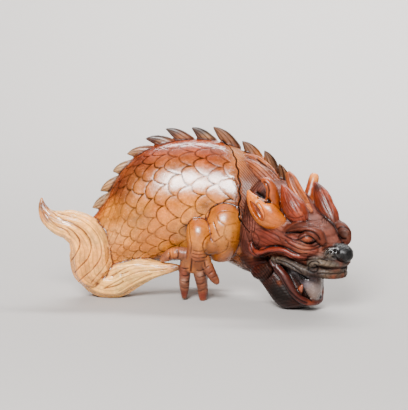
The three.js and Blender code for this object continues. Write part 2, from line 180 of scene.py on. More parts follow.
# Back ridge spines: [tip x, tip z, rear foot x, z, front foot x, z, y]
SPINES: Rows = (
    (-59, 51.5, -54, 51, -46.5, 61.5, -5),
    (-54.5, 61, -49.5, 60.5, -42.5, 70.5, -3),
    (-47.5, 72, -42.5, 70, -36, 79, -1),
    (-39.5, 81.5, -32.5, 79.5, -24.5, 86.5, 2),
    (-29, 90.3, -22, 86.5, -11.5, 89.5, 3),
    (-17.5, 96, -10, 88.5, 0, 90, 4),
    (-2.7, 96.8, 2, 89, 12.5, 89.5, 4),
    (9.5, 97.5, 14.5, 88.5, 26, 85.5, 2),
    (26, 90, 28, 83.5, 39.5, 79, -3),
    (38.5, 85.5, 38.5, 78, 48, 72.5, -9),
    (46.5, 79, 46.5, 70, 54, 64, -14),
)
SPINE_HALF_THICKNESS = 1.7
SPINE_ROOT = 4.0
SPINE_SWELL = 0.3
SPINE_HOLLOW = 0.12

# Skull: [forward, top, bottom, half width] in the head's own frame
SKULL: Rows = (
    (-14, 15, -20, 9),
    (-6, 20, -27, 15),
    (4, 21.5, -27, 19),
    (14, 18.5, -20, 20.5),
    (26, 13, -16.5, 19),
    (34, 10.5, -15.5, 16),
    (40, 8, -15.5, 13.5),
    (45, 4, -15.5, 11.5),
    (50, 0.8, -15, 9),
    (54, -0.8, -14.5, 6.5),
    (56.5, -3.5, -12, 4),
)
# Lower jaw and mouth: [top forward, top up, bottom forward, bottom up, half width]
JAW: Rows = (
    (-2, -12, -9, -30, 12),
    (10, -15, 5, -34, 14.5),
    (20, -18, 14, -37.5, 15.5),
    (28, -21, 22.5, -43.3, 14.8),
    (34, -25.5, 29, -44.8, 13.3),
    (39, -29.5, 36, -41.2, 10.5),
    (43, -32.5, 41, -37.8, 7),
    (44.5, -34.5, 43.5, -36.3, 3),
)
MOUTH: Rows = (
    (19, -15.5, 19, -17.5, 30),
    (26, -15, 27, -20, 30),
    (34, -15.5, 33, -25, 30),
    (42, -16, 38, -31, 30),
    (52, -16.5, 44, -37.5, 30),
    (70, -17, 60, -52, 30),
)

# Head details: [forward, side, up, half thickness across, half width]; side is negative towards the viewer
PAIRED: dict[str, Rows] = {
    "cheek": (
        (6, -17.5, -7, 2, 3),
        (11, -19, -6, 3.5, 5),
        (17, -19.5, -4, 3.5, 5),
        (24, -18, -1.5, 3, 4),
        (31, -16, -1.5, 4, 4.5),
        (38, -13.5, -2.5, 4, 4.5),
        (44, -10.5, -2, 2, 2),
    ),
    "cheek_cord": (
        (6, -18.5, -11, 1.5, 1.3),
        (8, -19.3, -14.3, 2.2, 1.7),
        (12, -19.8, -15, 2.4, 1.8),
        (18.4, -20, -10.2, 2.4, 1.8),
        (28, -18.5, -6.9, 2.4, 1.7),
        (33.5, -16.8, -7.9, 2.2, 1.7),
        (40, -13, -6, 1, 1),
    ),
    "eye": (
        (33.5, -15.5, 2, 1, 1),
        (36.5, -15.4, 3.6, 3, 2.4),
        (39.5, -14.4, 4.4, 3, 2.5),
        (42, -13, 4.4, 1, 1),
    ),
    "upper_lip": (
        (21, -17.5, -15, 2, 1.5),
        (28, -16.3, -13.8, 2.4, 2),
        (35, -14.2, -14.5, 2.4, 2.3),
        (42, -11.5, -15, 2.4, 2.6),
        (49, -8.5, -13.5, 2.4, 3),
        (54, -4.4, -12.5, 2.2, 3),
        (56.6, 0, -11.5, 2, 3),
    ),
    "lip_curl": (
        (42, -11.5, -12, 1.5, 1.5),
        (43, -11.5, -9, 3, 3),
        (46, -10.5, -7.2, 3, 2.6),
        (50.5, -8.2, -6.8, 2.6, 2),
        (54.6, -4, -6.6, 2, 1.8),
    ),
    "nose_wing": (
        (46, -7.5, -3, 2, 2),
        (49.5, -6.2, -2, 3.2, 3.2),
        (52.5, -4.8, -1.2, 3, 3.4),
        (54.5, -3.4, -1, 1.5, 1.5),
    ),
    "lower_lip": (
        (20.5, -17, -15.5, 2, 1.5),
        (24, -16.8, -18, 2.4, 2),
        (30, -15.5, -22, 2.5, 2.4),
        (34, -13.8, -26.5, 2.5, 2.4),
        (36.6, -12, -30, 2.5, 2.2),
        (40.2, -8.8, -33, 2.4, 2),
        (43, -4.8, -34.4, 2.2, 1.8),
        (44.2, 0, -34.8, 2, 1.6),
    ),
    "fang": ((37.8, -9, -31, 1.6, 1.6), (38.3, -9.2, -27.5, 1.5, 1.5), (38.8, -9, -24.5, 0.6, 0.6)),
    "jaw_lock": (
        (20, -16.5, -20, 2, 2.5),
        (16.5, -15.5, -25, 3, 4.5),
        (11, -13.5, -28, 3, 4),
        (5, -10.5, -29.5, 1.5, 2),
    ),
}
NEAR_SIDE: dict[str, Rows] = {
    "ear": (
        (21.5, -15, 6, 3, 4),
        (17, -18.5, 7, 4.5, 6.3),
        (12, -20.5, 8.7, 4.5, 7.4),
        (6.5, -22, 11.5, 3.6, 5.6),
        (2, -23, 15, 2.2, 2.8),
        (-0.9, -23, 18, 0.6, 0.6),
    ),
    "horn": (
        (14, -13, 8, 6, 5),
        (12.6, -15.5, 13.5, 5, 4.5),
        (12, -17.5, 19, 3.8, 3.4),
        (10.8, -19, 23.4, 3.2, 2.9),
        (8.2, -20.2, 26, 2.6, 2.4),
        (5.4, -21, 25.8, 1.4, 1.4),
    ),
    "brow_flame": (
        (14, -13.5, 25.6, 1, 1),
        (17.5, -14, 22.8, 3, 3),
        (22, -14, 18.5, 5, 5.8),
        (26.5, -13.5, 15.2, 5.5, 6.6),
        (30.5, -13, 12.8, 4.5, 5),
        (33, -12.5, 11, 2, 2.5),
    ),
    "brow": (
        (24.5, -17.5, 3, 1.2, 1.2),
        (29, -17, 6.8, 2.4, 2.4),
        (33.5, -15.5, 8.9, 3, 2.8),
        (38.5, -13.5, 8.8, 3.4, 3.2),
        (43, -11.5, 7, 3.4, 3.6),
        (46, -9.5, 3, 2, 2),
    ),
}
FAR_SIDE: dict[str, Rows] = {
    "ear": (
        (21.5, 15, 5, 3, 4),
        (17, 18.5, 5.5, 4.5, 5.6),
        (12, 20.5, 6, 4.5, 6.2),
        (6.5, 21.8, 7.5, 3.6, 5),
        (2, 22.4, 9.5, 2.2, 2.8),
        (-1, 22.6, 11.5, 0.6, 0.6),
    ),
    "horn": (
        (15, 13, 9, 5, 4.5),
        (14.2, 15.5, 15, 4, 3.6),
        (12.8, 17.5, 21, 3.2, 3.1),
        (11.6, 19.3, 25, 2.8, 2.8),
        (11.3, 19.8, 27, 1.6, 1.6),
    ),
    "brow_flame": (
        (16.9, 13, 24.7, 0.8, 0.8),
        (20.5, 13, 21.2, 3, 3.8),
        (24.5, 12.8, 17.6, 4.2, 5.2),
        (28, 12.3, 13.8, 4.6, 5.6),
        (32, 12, 11.2, 4.5, 5.2),
        (35.5, 11.5, 7.5, 4, 4.2),
        (37, 11, 4, 2, 2),
    ),
    "brow": (
        (33, 12, 5, 3, 3),
        (39.5, 12, 7, 3.4, 3.6),
        (45, 11.3, 5.5, 3.4, 3.4),
        (47, 10.6, 2.5, 2.6, 3),
        (46.5, 10, -1, 1.5, 1.5),
    ),
}
MIDLINE: dict[str, Rows] = {
    "crest_lock": (
        (6.5, 0, 28.9, 1, 1),
        (9.5, 0, 25.6, 3, 3),
        (14, 0, 21.5, 4, 3.2),
        (20, 0, 17, 3.6, 2.8),
        (28, 0, 12.8, 1, 1),
    ),
    "nose_tip": (
        (46.5, 0, -3, 5, 4),
        (51, 0, -1.6, 5.6, 5),
        (55, 0, -1.2, 5.2, 4.8),
        (58.2, 0, -2, 3, 3),
        (59.4, 0, -2.4, 1, 1),
    ),
    "tongue": (
        (24, 0, -22, 7, 3),
        (31, 0, -21.5, 7, 4.5),
        (37.5, 0, -23.5, 6.8, 5.5),
        (41, 0, -28.5, 5.5, 4.5),
        (42.5, 0, -33.3, 3, 2.5),
    ),
}
EAR_HOLLOWS: tuple[Rows, ...] = (
    (
        (3.5, -24.6, 13.6, 0.5, 0.5),
        (6, -25, 12, 2, 1.6),
        (9, -25, 9.8, 2.6, 2.4),
        (12, -24.2, 7.4, 2.2, 2.2),
        (14, -23, 6, 0.6, 0.6),
    ),
    (
        (3.5, 24.2, 9, 0.5, 0.5),
        (6, 25, 8, 2, 1.6),
        (9, 25, 7, 2.6, 2.4),
        (12, 24.2, 6, 2.2, 2.2),
        (14, 23, 5.5, 0.6, 0.6),
    ),
)
# Locks on the body's skin: [place along the body, degrees round it, lift, half thickness, half width]
MANE: dict[str, Rows] = {
    "mane_crown": (
        (11, 112, 0, 1.2, 2),
        (10.3, 109, 0.2, 2.2, 3.6),
        (9.4, 105, 0, 2.2, 3.6),
        (8.7, 100, -0.8, 1.4, 1.5),
    ),
    "mane_upper": (
        (11, 132, -0.2, 1.2, 2),
        (10.3, 127, -0.2, 2, 4),
        (9.4, 121, -0.4, 2, 4),
        (8.6, 112, -1.2, 1.4, 1.5),
    ),
    "mane_lower": (
        (10.6, 196, 0.5, 1.5, 2),
        (10, 210, 0.5, 2.6, 4),
        (9.5, 226, 0.3, 2.4, 3.5),
        (9.2, 242, -0.6, 1.2, 1.5),
    ),
}
HEAD_SEAT = (40.6, -18.0, 50.0)
HEAD_TURN = 40.0
HEAD_DIP = 15.0
ORIGIN_SHIFT = (1.5, 12.65, 0.15)


class Part(Enum):
    """What a spot of the skin belongs to, which decides its carving and its stain."""

    BODY = 0
    TAIL_UPPER = 1
    TAIL_LOWER = 2
    SPINE = 3
    MANE = 4
    ARM = 5
    TOE = 6
    SKULL = 7
    JAW = 8
    MOUTH = 9
    CHEEK = 10
    CHEEK_CORD = 11
    EYE = 12
    UPPER_LIP = 13
    LIP_CURL = 14
    NOSE_WING = 15
    LOWER_LIP = 16
    FANG = 17
    JAW_LOCK = 18
    EAR = 19
    HORN = 20
    BROW_FLAME = 21
    BROW = 22
    CREST_LOCK = 23
    NOSE_TIP = 24
    TONGUE = 25
    EAR_HOLLOW = 26


def linear(code: str) -> tuple[float, float, float]:
    """An sRGB hex colour as linear red, green and blue."""
    values = [int(code[i : i + 2], 16) / 255 for i in (1, 3, 5)]
    return tuple(v / 12.92 if v <= 0.04045 else ((v + 0.055) / 1.055) ** 2.4 for v in values)


def smooth_step(value: np.ndarray, low: float, high: float) -> np.ndarray:
    """0 below low, 1 above high and a smooth rise between; low may be the larger."""
    share = np.clip((value - low) / (high - low), 0, 1)
    return share * share * (3 - 2 * share)


def stations(rows: Rows, place: np.ndarray) -> np.ndarray:
    """Every column of the rows read off by a Catmull-Rom curve.

    Args:
        rows: The drawn stations.
        place: Places from 0 to the last station.

    Returns:
        One row of values for each place.
    """
    table = np.asarray(rows, float)
    last = len(table) - 1
    i = np.minimum(np.floor(place).astype(int), last - 1)
    f = (place - i)[:, None]
    a, b, c, d = (table[np.clip(i + k, 0, last)] for k in (-1, 0, 1, 2))
    return b + 0.5 * f * (c - a + f * (2 * a - 5 * b + 4 * c - d + f * (3 * (b - c) + d - a)))


@dataclass(frozen=True)
class RingShape:
    """How a form's rings are drawn."""

    sides: int = 32
    steps: int = 6
    power: float = 2.0
    sag: float = 0.0
    ripples: int = 0
    ripple: float = 0.0

    def angles(self) -> np.ndarray:
        """The angle of each point round a ring."""
        return 2 * np.pi * np.arange(self.sides) / self.sides

    def offsets(self) -> tuple[np.ndarray, np.ndarray]:
        """Shares of the across and the upward reach for each point of a ring.

        Returns:
            The shares across and the shares upward.
        """
        angle = self.angles()
        c, s = np.cos(angle), np.sin(angle)
        square = (np.abs(c) ** self.power + np.abs(s) ** self.power) ** (-1 / self.power)
        reach = square * (1 + self.ripple * np.cos(self.ripples * angle))
        return c * reach * (1 - self.sag * s), s * reach


@dataclass
class Form:
    """One closed drawn form: rings of points, and where each point lies along it and round it."""

    part: Part
    rings: np.ndarray
    place: np.ndarray
    angle: np.ndarray
    index: int = 0

    def moved(self, matrix: Matrix) -> "Form":
        """The form carried by a matrix."""
        turn = np.array(matrix.to_3x3())
        rings = self.rings @ turn.T + np.array(matrix.translation)
        return Form(self.part, rings, self.place, self.angle, self.index)

    def mesh(self) -> tuple[np.ndarray, np.ndarray]:
        """The form's points and its triangles, closed by a fan at each end.

        Returns:
            The points and the triangles.
        """
        count, sides = self.rings.shape[:2]
        points = np.vstack([self.rings.reshape(-1, 3), self.rings[0].mean(0), self.rings[-1].mean(0)])
        r, k = np.meshgrid(np.arange(count - 1), np.arange(sides), indexing="ij")
        a, b = r * sides + k, r * sides + (k + 1) % sides
        halves = (np.stack([a, b, b + sides], -1), np.stack([a, b + sides, a + sides], -1))
        walls = np.concatenate(halves).reshape(-1, 3)
        k = np.arange(sides)
        after = (k + 1) % sides
        first = np.stack([np.full(sides, count * sides), after, k], -1)
        end = (count - 1) * sides
        last = np.stack([np.full(sides, count * sides + 1), end + k, end + after], -1)
        return points, np.concatenate([walls, first, last])

    def marks(self) -> np.ndarray:
        """For each point of mesh(): place along, cosine and sine of the angle round.

        Returns:
            One row of three values for each point.
        """
        count, sides = self.rings.shape[:2]
        place = np.repeat(self.place, sides)
        turn = np.tile(self.angle, count)
        rows = np.stack([place, np.cos(turn), np.sin(turn)], -1)
        return np.vstack([rows, [self.place[0], 0, 0], [self.place[-1], 0, 0]])


def tube(part: Part, rows: Rows, shape: RingShape, index: int = 0) -> Form:
    """A tube along stations [x, y, z, half thickness, half width].

    Args:
        part: What the tube belongs to.
        rows: Its stations.
        shape: How its rings are drawn.
        index: Its number among forms of the same part.

    Returns:
        The closed form.
    """
    last = len(rows) - 1
    place = np.linspace(0, last, last * shape.steps + 1)
    values = stations(rows, place)
    ahead, behind = (stations(rows, np.clip(place + step, 0, last))[:, :3] for step in (0.05, -0.05))
    along = ahead - behind
    along /= np.linalg.norm(along, axis=1, keepdims=True)
    across = np.array([0.0, 1.0, 0.0]) - along * along[:, 1:2]
    across /= np.linalg.norm(across, axis=1, keepdims=True)
    upward = np.cross(along, across)
    c, s = shape.offsets()
    rings = (
        values[:, None, :3]
        + (across * values[:, 3:4])[:, None, :] * c[None, :, None]
        + (upward * values[:, 4:5])[:, None, :] * s[None, :, None]
    )
    return Form(part, rings, place, shape.angles(), index)


def trunk(part: Part, rows: Rows, shape: RingShape, index: int = 0) -> Form:
    """A form through stations given by a top point, a bottom point, the mid-plane and the half thickness.

    Args:
        part: What the form belongs to.
        rows: Stations [top x, top z, bottom x, bottom z, y, half thickness].
        shape: How its rings are drawn.
        index: Its number among forms of the same part.

    Returns:
        The closed form.
    """
    last = len(rows) - 1
    place = np.linspace(0, last, last * shape.steps + 1)
    top_x, top_z, low_x, low_z, y, thick = stations(rows, place).T
    centre = np.stack([(top_x + low_x) / 2, y, (top_z + low_z) / 2], -1)
    upward = np.stack([(top_x - low_x) / 2, 0 * y, (top_z - low_z) / 2], -1)
    across = np.stack([0 * y, thick, 0 * y], -1)
    c, s = shape.offsets()
    rings = centre[:, None] + across[:, None] * c[None, :, None] + upward[:, None] * s[None, :, None]
    return Form(part, rings, place, shape.angles(), index)


def mirrored(rows: Rows, middle: float = 0.0) -> Rows:
    """The same stations on the other side of the plane y = middle."""
    return tuple((x, 2 * middle - y, *rest) for x, y, *rest in rows)


def body_point(place: np.ndarray, degrees: np.ndarray, lift: np.ndarray) -> np.ndarray:
    """Points on the body's skin.

    Args:
        place: Places along the body's stations.
        degrees: Angles round it, 0 on the far side and 90 on top.
        lift: Heights above the skin.

    Returns:
        The points in the drawing.
    """
    top_x, top_z, low_x, low_z, y, half = stations(BODY, place).T
    c, s = np.cos(np.radians(degrees)), np.sin(np.radians(degrees))
    reach = 1 + lift / half
    x = (top_x + low_x) / 2 + (top_x - low_x) / 2 * s * reach
    z = (top_z + low_z) / 2 + (top_z - low_z) / 2 * s * reach
    return np.stack([x, y + half * c * (1 - BODY_SAG * s) * reach, z], -1)


def spine_rows(row: Sequence[float]) -> Rows:
    """The trunk stations of one flame-shaped blade of the back ridge, from its sunk root to its tip.

    Args:
        row: The blade's row of SPINES.

    Returns:
        The stations.
    """
    tip, rear, front = (np.array(row[i : i + 2], float) for i in (0, 2, 4))
    y = row[6]
    along = (front - rear) / np.linalg.norm(front - rear)
    outward = np.array([-along[1], along[0]])

    def edge(foot: np.ndarray, swell: float, share: float) -> np.ndarray:
        """A point of the curved edge from a foot to the tip."""
        crown = (foot + tip) / 2 + outward * swell * np.linalg.norm(tip - foot)
        return (1 - share) ** 2 * foot + 2 * share * (1 - share) * crown + share**2 * tip

    rows = [(*(front - outward * SPINE_ROOT), *(rear - outward * SPINE_ROOT), y, SPINE_HALF_THICKNESS * 1.5)]
    for share in (0, 0.18, 0.35, 0.52, 0.7, 0.85, 0.97):
        high, low = edge(front, SPINE_SWELL, share), edge(rear, -SPINE_HOLLOW, share)
        rows.append((*high, *low, y, SPINE_HALF_THICKNESS * (1.2 - 0.8 * share)))
    return tuple(rows)


def head_matrix() -> Matrix:
    """The head's own frame, turned and dipped onto the neck.

    Returns:
        The matrix.
    """
    turn = Matrix.Rotation(math.radians(-HEAD_TURN), 4, "Z")
    dip = Matrix.Rotation(math.radians(HEAD_DIP), 4, "Y")
    return Matrix.Translation(HEAD_SEAT) @ turn @ dip


class Drawing:
    """All drawn forms of the figure, in drawing millimetres."""

    ROUND = RingShape(sides=28, steps=6)

    def __init__(self) -> None:
        """Draws every form once."""
        self.head = head_matrix()
        self.solids = [*self.body_forms(), *self.leg_forms(), *self.head_details()]
        self.head_block = self.head_blocks()
        self.mouth = self.seated(trunk(Part.MOUTH, self.flat_rows(MOUTH), RingShape(48, 6, 2.6)))
        self.hollows = [self.seated(tube(Part.EAR_HOLLOW, rows, self.ROUND)) for rows in EAR_HOLLOWS]

    def seated(self, form: Form) -> Form:
        """A head form in the place where the head sits."""
        return form.moved(self.head)

    @staticmethod
    def flat_rows(rows: Rows) -> Rows:
        """Rows of a form that lies in the head's own middle plane."""
        return tuple((*row[:4], 0, row[4]) for row in rows)

    def body_forms(self) -> list[Form]:
        """Body, tail lobes, spines and mane locks.

        Returns:
            The forms.
        """
        flutes = RingShape(sides=80, steps=10, power=2.6, ripples=10, ripple=0.04)
        forms = [
            trunk(Part.BODY, BODY, RingShape(sides=120, steps=12, sag=BODY_SAG)),
            tube(Part.TAIL_UPPER, TAIL_UPPER_LOBE, flutes),
            tube(Part.TAIL_LOWER, TAIL_LOWER_LOBE, flutes),
        ]
        for number, row in enumerate(SPINES):
            forms.append(trunk(Part.SPINE, spine_rows(row), RingShape(sides=28, steps=3), number))
        for rows in MANE.values():
            for flip in (False, True):
                forms.append(self.lock(rows, flip))
        return forms

    def lock(self, rows: Rows, flip: bool) -> Form:
        """A lock of hair that lies on the body's skin, on the near side or flipped to the far side.

        Args:
            rows: Its stations on the skin.
            flip: True for the far side.

        Returns:
            The form.
        """
        place, degrees, lift, thick, wide = np.asarray(rows, float).T
        points = body_point(place, 180 - degrees if flip else degrees, lift)
        laid = np.column_stack([points, thick, wide])
        return tube(Part.MANE, laid, self.ROUND)

    def leg_forms(self) -> list[Form]:
        """Both forelegs with their toes.

        Returns:
            The forms.
        """
        forms = []
        for part, group in ((Part.ARM, ARM), (Part.TOE, TOES)):
            for number, rows in enumerate(group.values()):
                forms.append(tube(part, rows, self.ROUND, number))
                forms.append(tube(part, mirrored(rows, FAR_LEG_PLANE), self.ROUND, number))
        forms.append(tube(Part.TOE, TOE_OUTER, self.ROUND, 3))
        forms.append(tube(Part.TOE, mirrored(TOE_TUCKED, FAR_LEG_PLANE), self.ROUND, 3))
        return forms

    def head_blocks(self) -> list[Form]:
        """Skull and lower jaw, which the mouth is cut into.

        Returns:
            The two forms.
        """
        skull = tuple((forward, top, forward, low, 0, half) for forward, top, low, half in SKULL)
        return [
            self.seated(trunk(Part.SKULL, skull, RingShape(72, 6, 2.3))),
            self.seated(trunk(Part.JAW, self.flat_rows(JAW), RingShape(64, 6, 2.1))),
        ]

    def head_details(self) -> list[Form]:
        """Horns, ears, brows, lips and the rest, on both sides.

        Returns:
            The forms.
        """
        tables = [*NEAR_SIDE.items(), *FAR_SIDE.items(), *MIDLINE.items()]
        for name, rows in PAIRED.items():
            tables += [(name, rows), (name, mirrored(rows))]
        return [self.seated(tube(Part[name.upper()], rows, self.ROUND)) for name, rows in tables]


@dataclass(frozen=True)
class Placement:
    """How drawing millimetres become metres in the frame."""

    MARGIN = 0.00002  # metres kept free inside the box, because thinning the mesh moves its points a little

    scale: float
    low: np.ndarray
    high: np.ndarray

    @classmethod
    def from_frame(cls) -> "Placement":
        """Reads the placement off the frame's box."""
        low, high = (np.array(corner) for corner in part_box(NODE))
        return cls((high[0] - low[0]) / DRAWN_LENGTH, low, high)

    def shift(self) -> np.ndarray:
        """From the drawing's origin to the frame's, in metres."""
        return np.array(ORIGIN_SHIFT) * self.scale

    def place(self, points: np.ndarray) -> np.ndarray:
        """Drawing points as metres in the frame, inside the frame's box."""
        metres = points * self.scale + self.shift()
        return np.clip(metres, self.low + self.MARGIN, self.high - self.MARGIN)


class Smith:
    """Joins and cuts drawn forms into one skin."""

    @staticmethod
    def object_of(name: str, forms: Iterable[Form]) -> bpy.types.Object:
        """One loose object that holds the forms' meshes.

        Args:
            name: The object's name.
            forms: The forms.

        Returns:
            The object.
        """
        points, triangles, base = [], [], 0
        for form in forms:
            p, t = form.mesh()
            points.append(p)
            triangles.append(t + base)
            base += len(p)
        return Smith.from_arrays(name, np.vstack(points), np.vstack(triangles))

    @staticmethod
    def from_arrays(name: str, points: np.ndarray, faces: np.ndarray) -> bpy.types.Object:
        """An object from points and triangles.

        Args:
            name: The object's name.
            points: One row for each point.
            faces: Three point numbers for each triangle.

        Returns:
            The object.
        """
        mesh = bpy.data.meshes.new(name)
        mesh.from_pydata(points.tolist(), [], faces.tolist())
        mesh.update()
        made = bpy.data.objects.new(name, mesh)
        bpy.context.scene.collection.objects.link(made)
        return made

    @staticmethod
    def applied(made: bpy.types.Object) -> bpy.types.Object:
        """The object with its modifiers worked into its mesh.

        Args:
            made: The object.

        Returns:
            The same object.
        """
        shape = made.evaluated_get(bpy.context.evaluated_depsgraph_get())
        mesh = bpy.data.meshes.new_from_object(shape)
        made.modifiers.clear()
        old, made.data = made.data, mesh
        bpy.data.meshes.remove(old)
        return made

    @staticmethod
    def remeshed(made: bpy.types.Object, voxel: float) -> bpy.types.Object:
        """The object's overlapping shells as one even skin.

        Args:
            made: The object.
            voxel: The grid's spacing.

        Returns:
            The same object.
        """
        modifier = made.modifiers.new("skin", "REMESH")
        modifier.mode = "VOXEL"
        modifier.voxel_size = voxel
        return Smith.applied(made)

    @staticmethod
    def cut(made: bpy.types.Object, cutter: bpy.types.Object) -> bpy.types.Object:
        """The object less the cutter, which is used up.

        Args:
            made: The object.
            cutter: What is taken off it.

        Returns:
            The same object.
        """
        modifier = made.modifiers.new("cut", "BOOLEAN")
        modifier.operation = "DIFFERENCE"
        modifier.solver = "MANIFOLD"
        modifier.object = cutter
        Smith.applied(made)
        Smith.drop(cutter)
        return made

    @staticmethod
    def joined(first: bpy.types.Object, second: bpy.types.Object) -> bpy.types.Object:
        """Both objects' meshes in one object; the second is used up.

        Args:
            first: One object.
            second: The other.

        Returns:
            The new object.
        """
        a, b = Skin.read(first), Skin.read(second)
        points = np.vstack([a.points, b.points])
        faces = np.vstack([a.faces, b.faces + len(a.points)])
        made = Smith.from_arrays(first.name + "_all", points, faces)
        Smith.drop(first)
        Smith.drop(second)
        return made

    @staticmethod
    def drop(made: bpy.types.Object) -> None:
        """Removes an object and its mesh.

        Args:
            made: The object.
        """
        mesh = made.data
        bpy.data.objects.remove(made)
        bpy.data.meshes.remove(mesh)


@dataclass
class Skin:
    """A triangle mesh as arrays, in drawing millimetres."""

    points: np.ndarray
    faces: np.ndarray

    @classmethod
    def read(cls, made: bpy.types.Object) -> "Skin":
        """Reads an object's mesh, split into triangles.

        Args:
            made: The object.

        Returns:
            The skin.
        """
        mesh = made.data
        mesh.calc_loop_triangles()
        points = np.empty(len(mesh.vertices) * 3, np.float32)
        mesh.vertices.foreach_get("co", points)
        faces = np.empty(len(mesh.loop_triangles) * 3, np.int32)
        mesh.loop_triangles.foreach_get("vertices", faces)
        return cls(points.reshape(-1, 3).astype(float), faces.reshape(-1, 3))

    def normals(self) -> np.ndarray:
        """Unit normals at the points, weighted by area.

        Returns:
            One normal for each point.
        """
        a, b, c = (self.points[self.faces[:, k]] for k in range(3))
        face = np.cross(b - a, c - a)
        total = np.zeros_like(self.points)
        for k in range(3):
            for axis in range(3):
                total[:, axis] += np.bincount(self.faces[:, k], face[:, axis], len(self.points))
        return total / np.maximum(np.linalg.norm(total, axis=1, keepdims=True), 1e-12)

    def relaxed(self, rounds: int, strength: float = 0.5) -> "Skin":
        """The skin with its points drawn towards their neighbours' middle.

        Args:
            rounds: How often.
            strength: Share of the way in each round.

        Returns:
            The relaxed skin.
        """
        edges = np.vstack([self.faces[:, [0, 1]], self.faces[:, [1, 2]], self.faces[:, [2, 0]]])
        count = np.bincount(edges.ravel(), minlength=len(self.points))[:, None]
        points = self.points.copy()
        for _ in range(rounds):
            total = np.zeros_like(points)
            for axis in range(3):
                total[:, axis] = np.bincount(edges[:, 0], points[edges[:, 1], axis], len(points))
                total[:, axis] += np.bincount(edges[:, 1], points[edges[:, 0], axis], len(points))
            points += strength * (total / np.maximum(count, 1) - points)
        return Skin(points, self.faces)

    def tree(self) -> BVHTree:
        """A search tree over the triangles."""
        return BVHTree.FromPolygons(self.points.tolist(), self.faces.tolist())


class Marks:
    """For each point of a skin: the part that it belongs to and its place along it and round it."""

    def __init__(self, points: np.ndarray, forms: Sequence[Form]) -> None:
        """Finds the nearest drawn form for each point.

        Args:
            points: Points of the skin.
            forms: The drawn forms that the skin was made from.
        """
        all_points, all_faces, all_marks, owner, number, base = [], [], [], [], [], 0
        for form in forms:
            p, t = form.mesh()
            all_points.append(p)
            all_faces.append(t + base)
            all_marks.append(form.marks())
            owner.append(np.full(len(t), form.part.value))
            number.append(np.full(len(t), form.index))
            base += len(p)
        source, faces, marks = np.vstack(all_points), np.vstack(all_faces), np.vstack(all_marks)
        tree = BVHTree.FromPolygons(source.tolist(), faces.tolist())
        hits = [tree.find_nearest(Vector(p)) for p in points.tolist()]
        which = np.array([hit[2] for hit in hits])
        near = np.array([tuple(hit[0]) for hit in hits])
        self.part = np.concatenate(owner)[which]
        self.index = np.concatenate(number)[which]
        corner = source[faces[which]]
        weight = self.shares(corner, near)
        mixed = (marks[faces[which]] * weight[:, :, None]).sum(1)
        self.place = mixed[:, 0]
        self.angle = np.degrees(np.arctan2(mixed[:, 2], mixed[:, 1])) % 360

    @staticmethod
    def shares(corner: np.ndarray, point: np.ndarray) -> np.ndarray:
        """How much of each triangle corner a point in the triangle holds.

        Args:
            corner: Three corners for each point.
            point: The points.

        Returns:
            Three shares for each point.
        """
        a, b, c = corner[:, 0], corner[:, 1], corner[:, 2]
        v0, v1, v2 = b - a, c - a, point - a
        d00, d01, d11 = (v0 * v0).sum(1), (v0 * v1).sum(1), (v1 * v1).sum(1)
        d20, d21 = (v2 * v0).sum(1), (v2 * v1).sum(1)
        bottom = np.maximum(d00 * d11 - d01 * d01, 1e-12)
        second = np.clip((d11 * d20 - d01 * d21) / bottom, 0, 1)
        third = np.clip((d00 * d21 - d01 * d20) / bottom, 0, 1)
        return np.stack([np.clip(1 - second - third, 0, 1), second, third], -1)

    def on(self, *parts: Part) -> np.ndarray:
        """True where the skin belongs to one of the parts."""
        return np.isin(self.part, [part.value for part in parts])


@dataclass(frozen=True)
class PhotoCamera:
    """The camera that the photograph was taken with, in drawing millimetres."""

    target: tuple[float, float, float] = (4.719, 0.0, 52.506)
    distance: float = 879.45
    elevation: float = 10.0
    lens: float = 135.0
    film: float = 36.0
    width: int = 408
    height: int = 410

    def backward(self) -> Vector:
        """Unit direction from the target to the camera."""
        tilt = math.radians(self.elevation)
        return Vector((0, -math.cos(tilt), math.sin(tilt)))

    def eye(self) -> Vector:
        """Where the camera stands."""
        return Vector(self.target) + self.backward() * self.distance

    def ray(self, pixel: Pixel) -> Vector:
        """Direction from the eye through a pixel of the photograph.

        Args:
            pixel: The pixel, from the top left corner.

        Returns:
            The unit direction.
        """
        step = self.film / self.lens / max(self.width, self.height)
        right = Vector((1, 0, 0))
        up = right.cross(-self.backward())
        x, y = (pixel[0] - self.width / 2) * step, (self.height / 2 - pixel[1]) * step
        return (-self.backward() + right * x + up * y).normalized()


class Twin(Enum):
    """The plane that a stroke is repeated across."""

    NONE = "none"
    HEAD = "head"
    BODY = "body"
    LEG = "leg"
    TAIL = "tail"


@dataclass(frozen=True)
class Stroke:
    """A line cut into the stone or left proud of it, drawn on the photograph.

    A negative depth cuts a groove and a positive one leaves a ridge; width and depth are millimetres. dark is
    how much of the line's stain shows in it.
    """

    name: str
    pixels: tuple[Pixel, ...]
    width: float = 0.55
    depth: float = -0.35
    dark: float = 0.6
    twin: Twin = Twin.NONE


def fan(name: str, first: Sequence[Pixel], last: Sequence[Pixel], count: int, like: Stroke) -> list[Stroke]:
    """Strokes that lead over from one drawn line to another.

    Args:
        name: The fan's name.
        first: Points of its first line.
        last: As many points of its last line.
        count: How many lines there are.
        like: A stroke with the width, depth, dark and twin to use.

    Returns:
        The strokes.
    """
    made = []
    for number in range(count):
        share = number / (count - 1)
        pixels = tuple(
            (a[0] + (b[0] - a[0]) * share, a[1] + (b[1] - a[1]) * share)
            for a, b in zip(first, last, strict=True)
        )
        made.append(Stroke(f"{name}_{number}", pixels, like.width, like.depth, like.dark, like.twin))
    return made


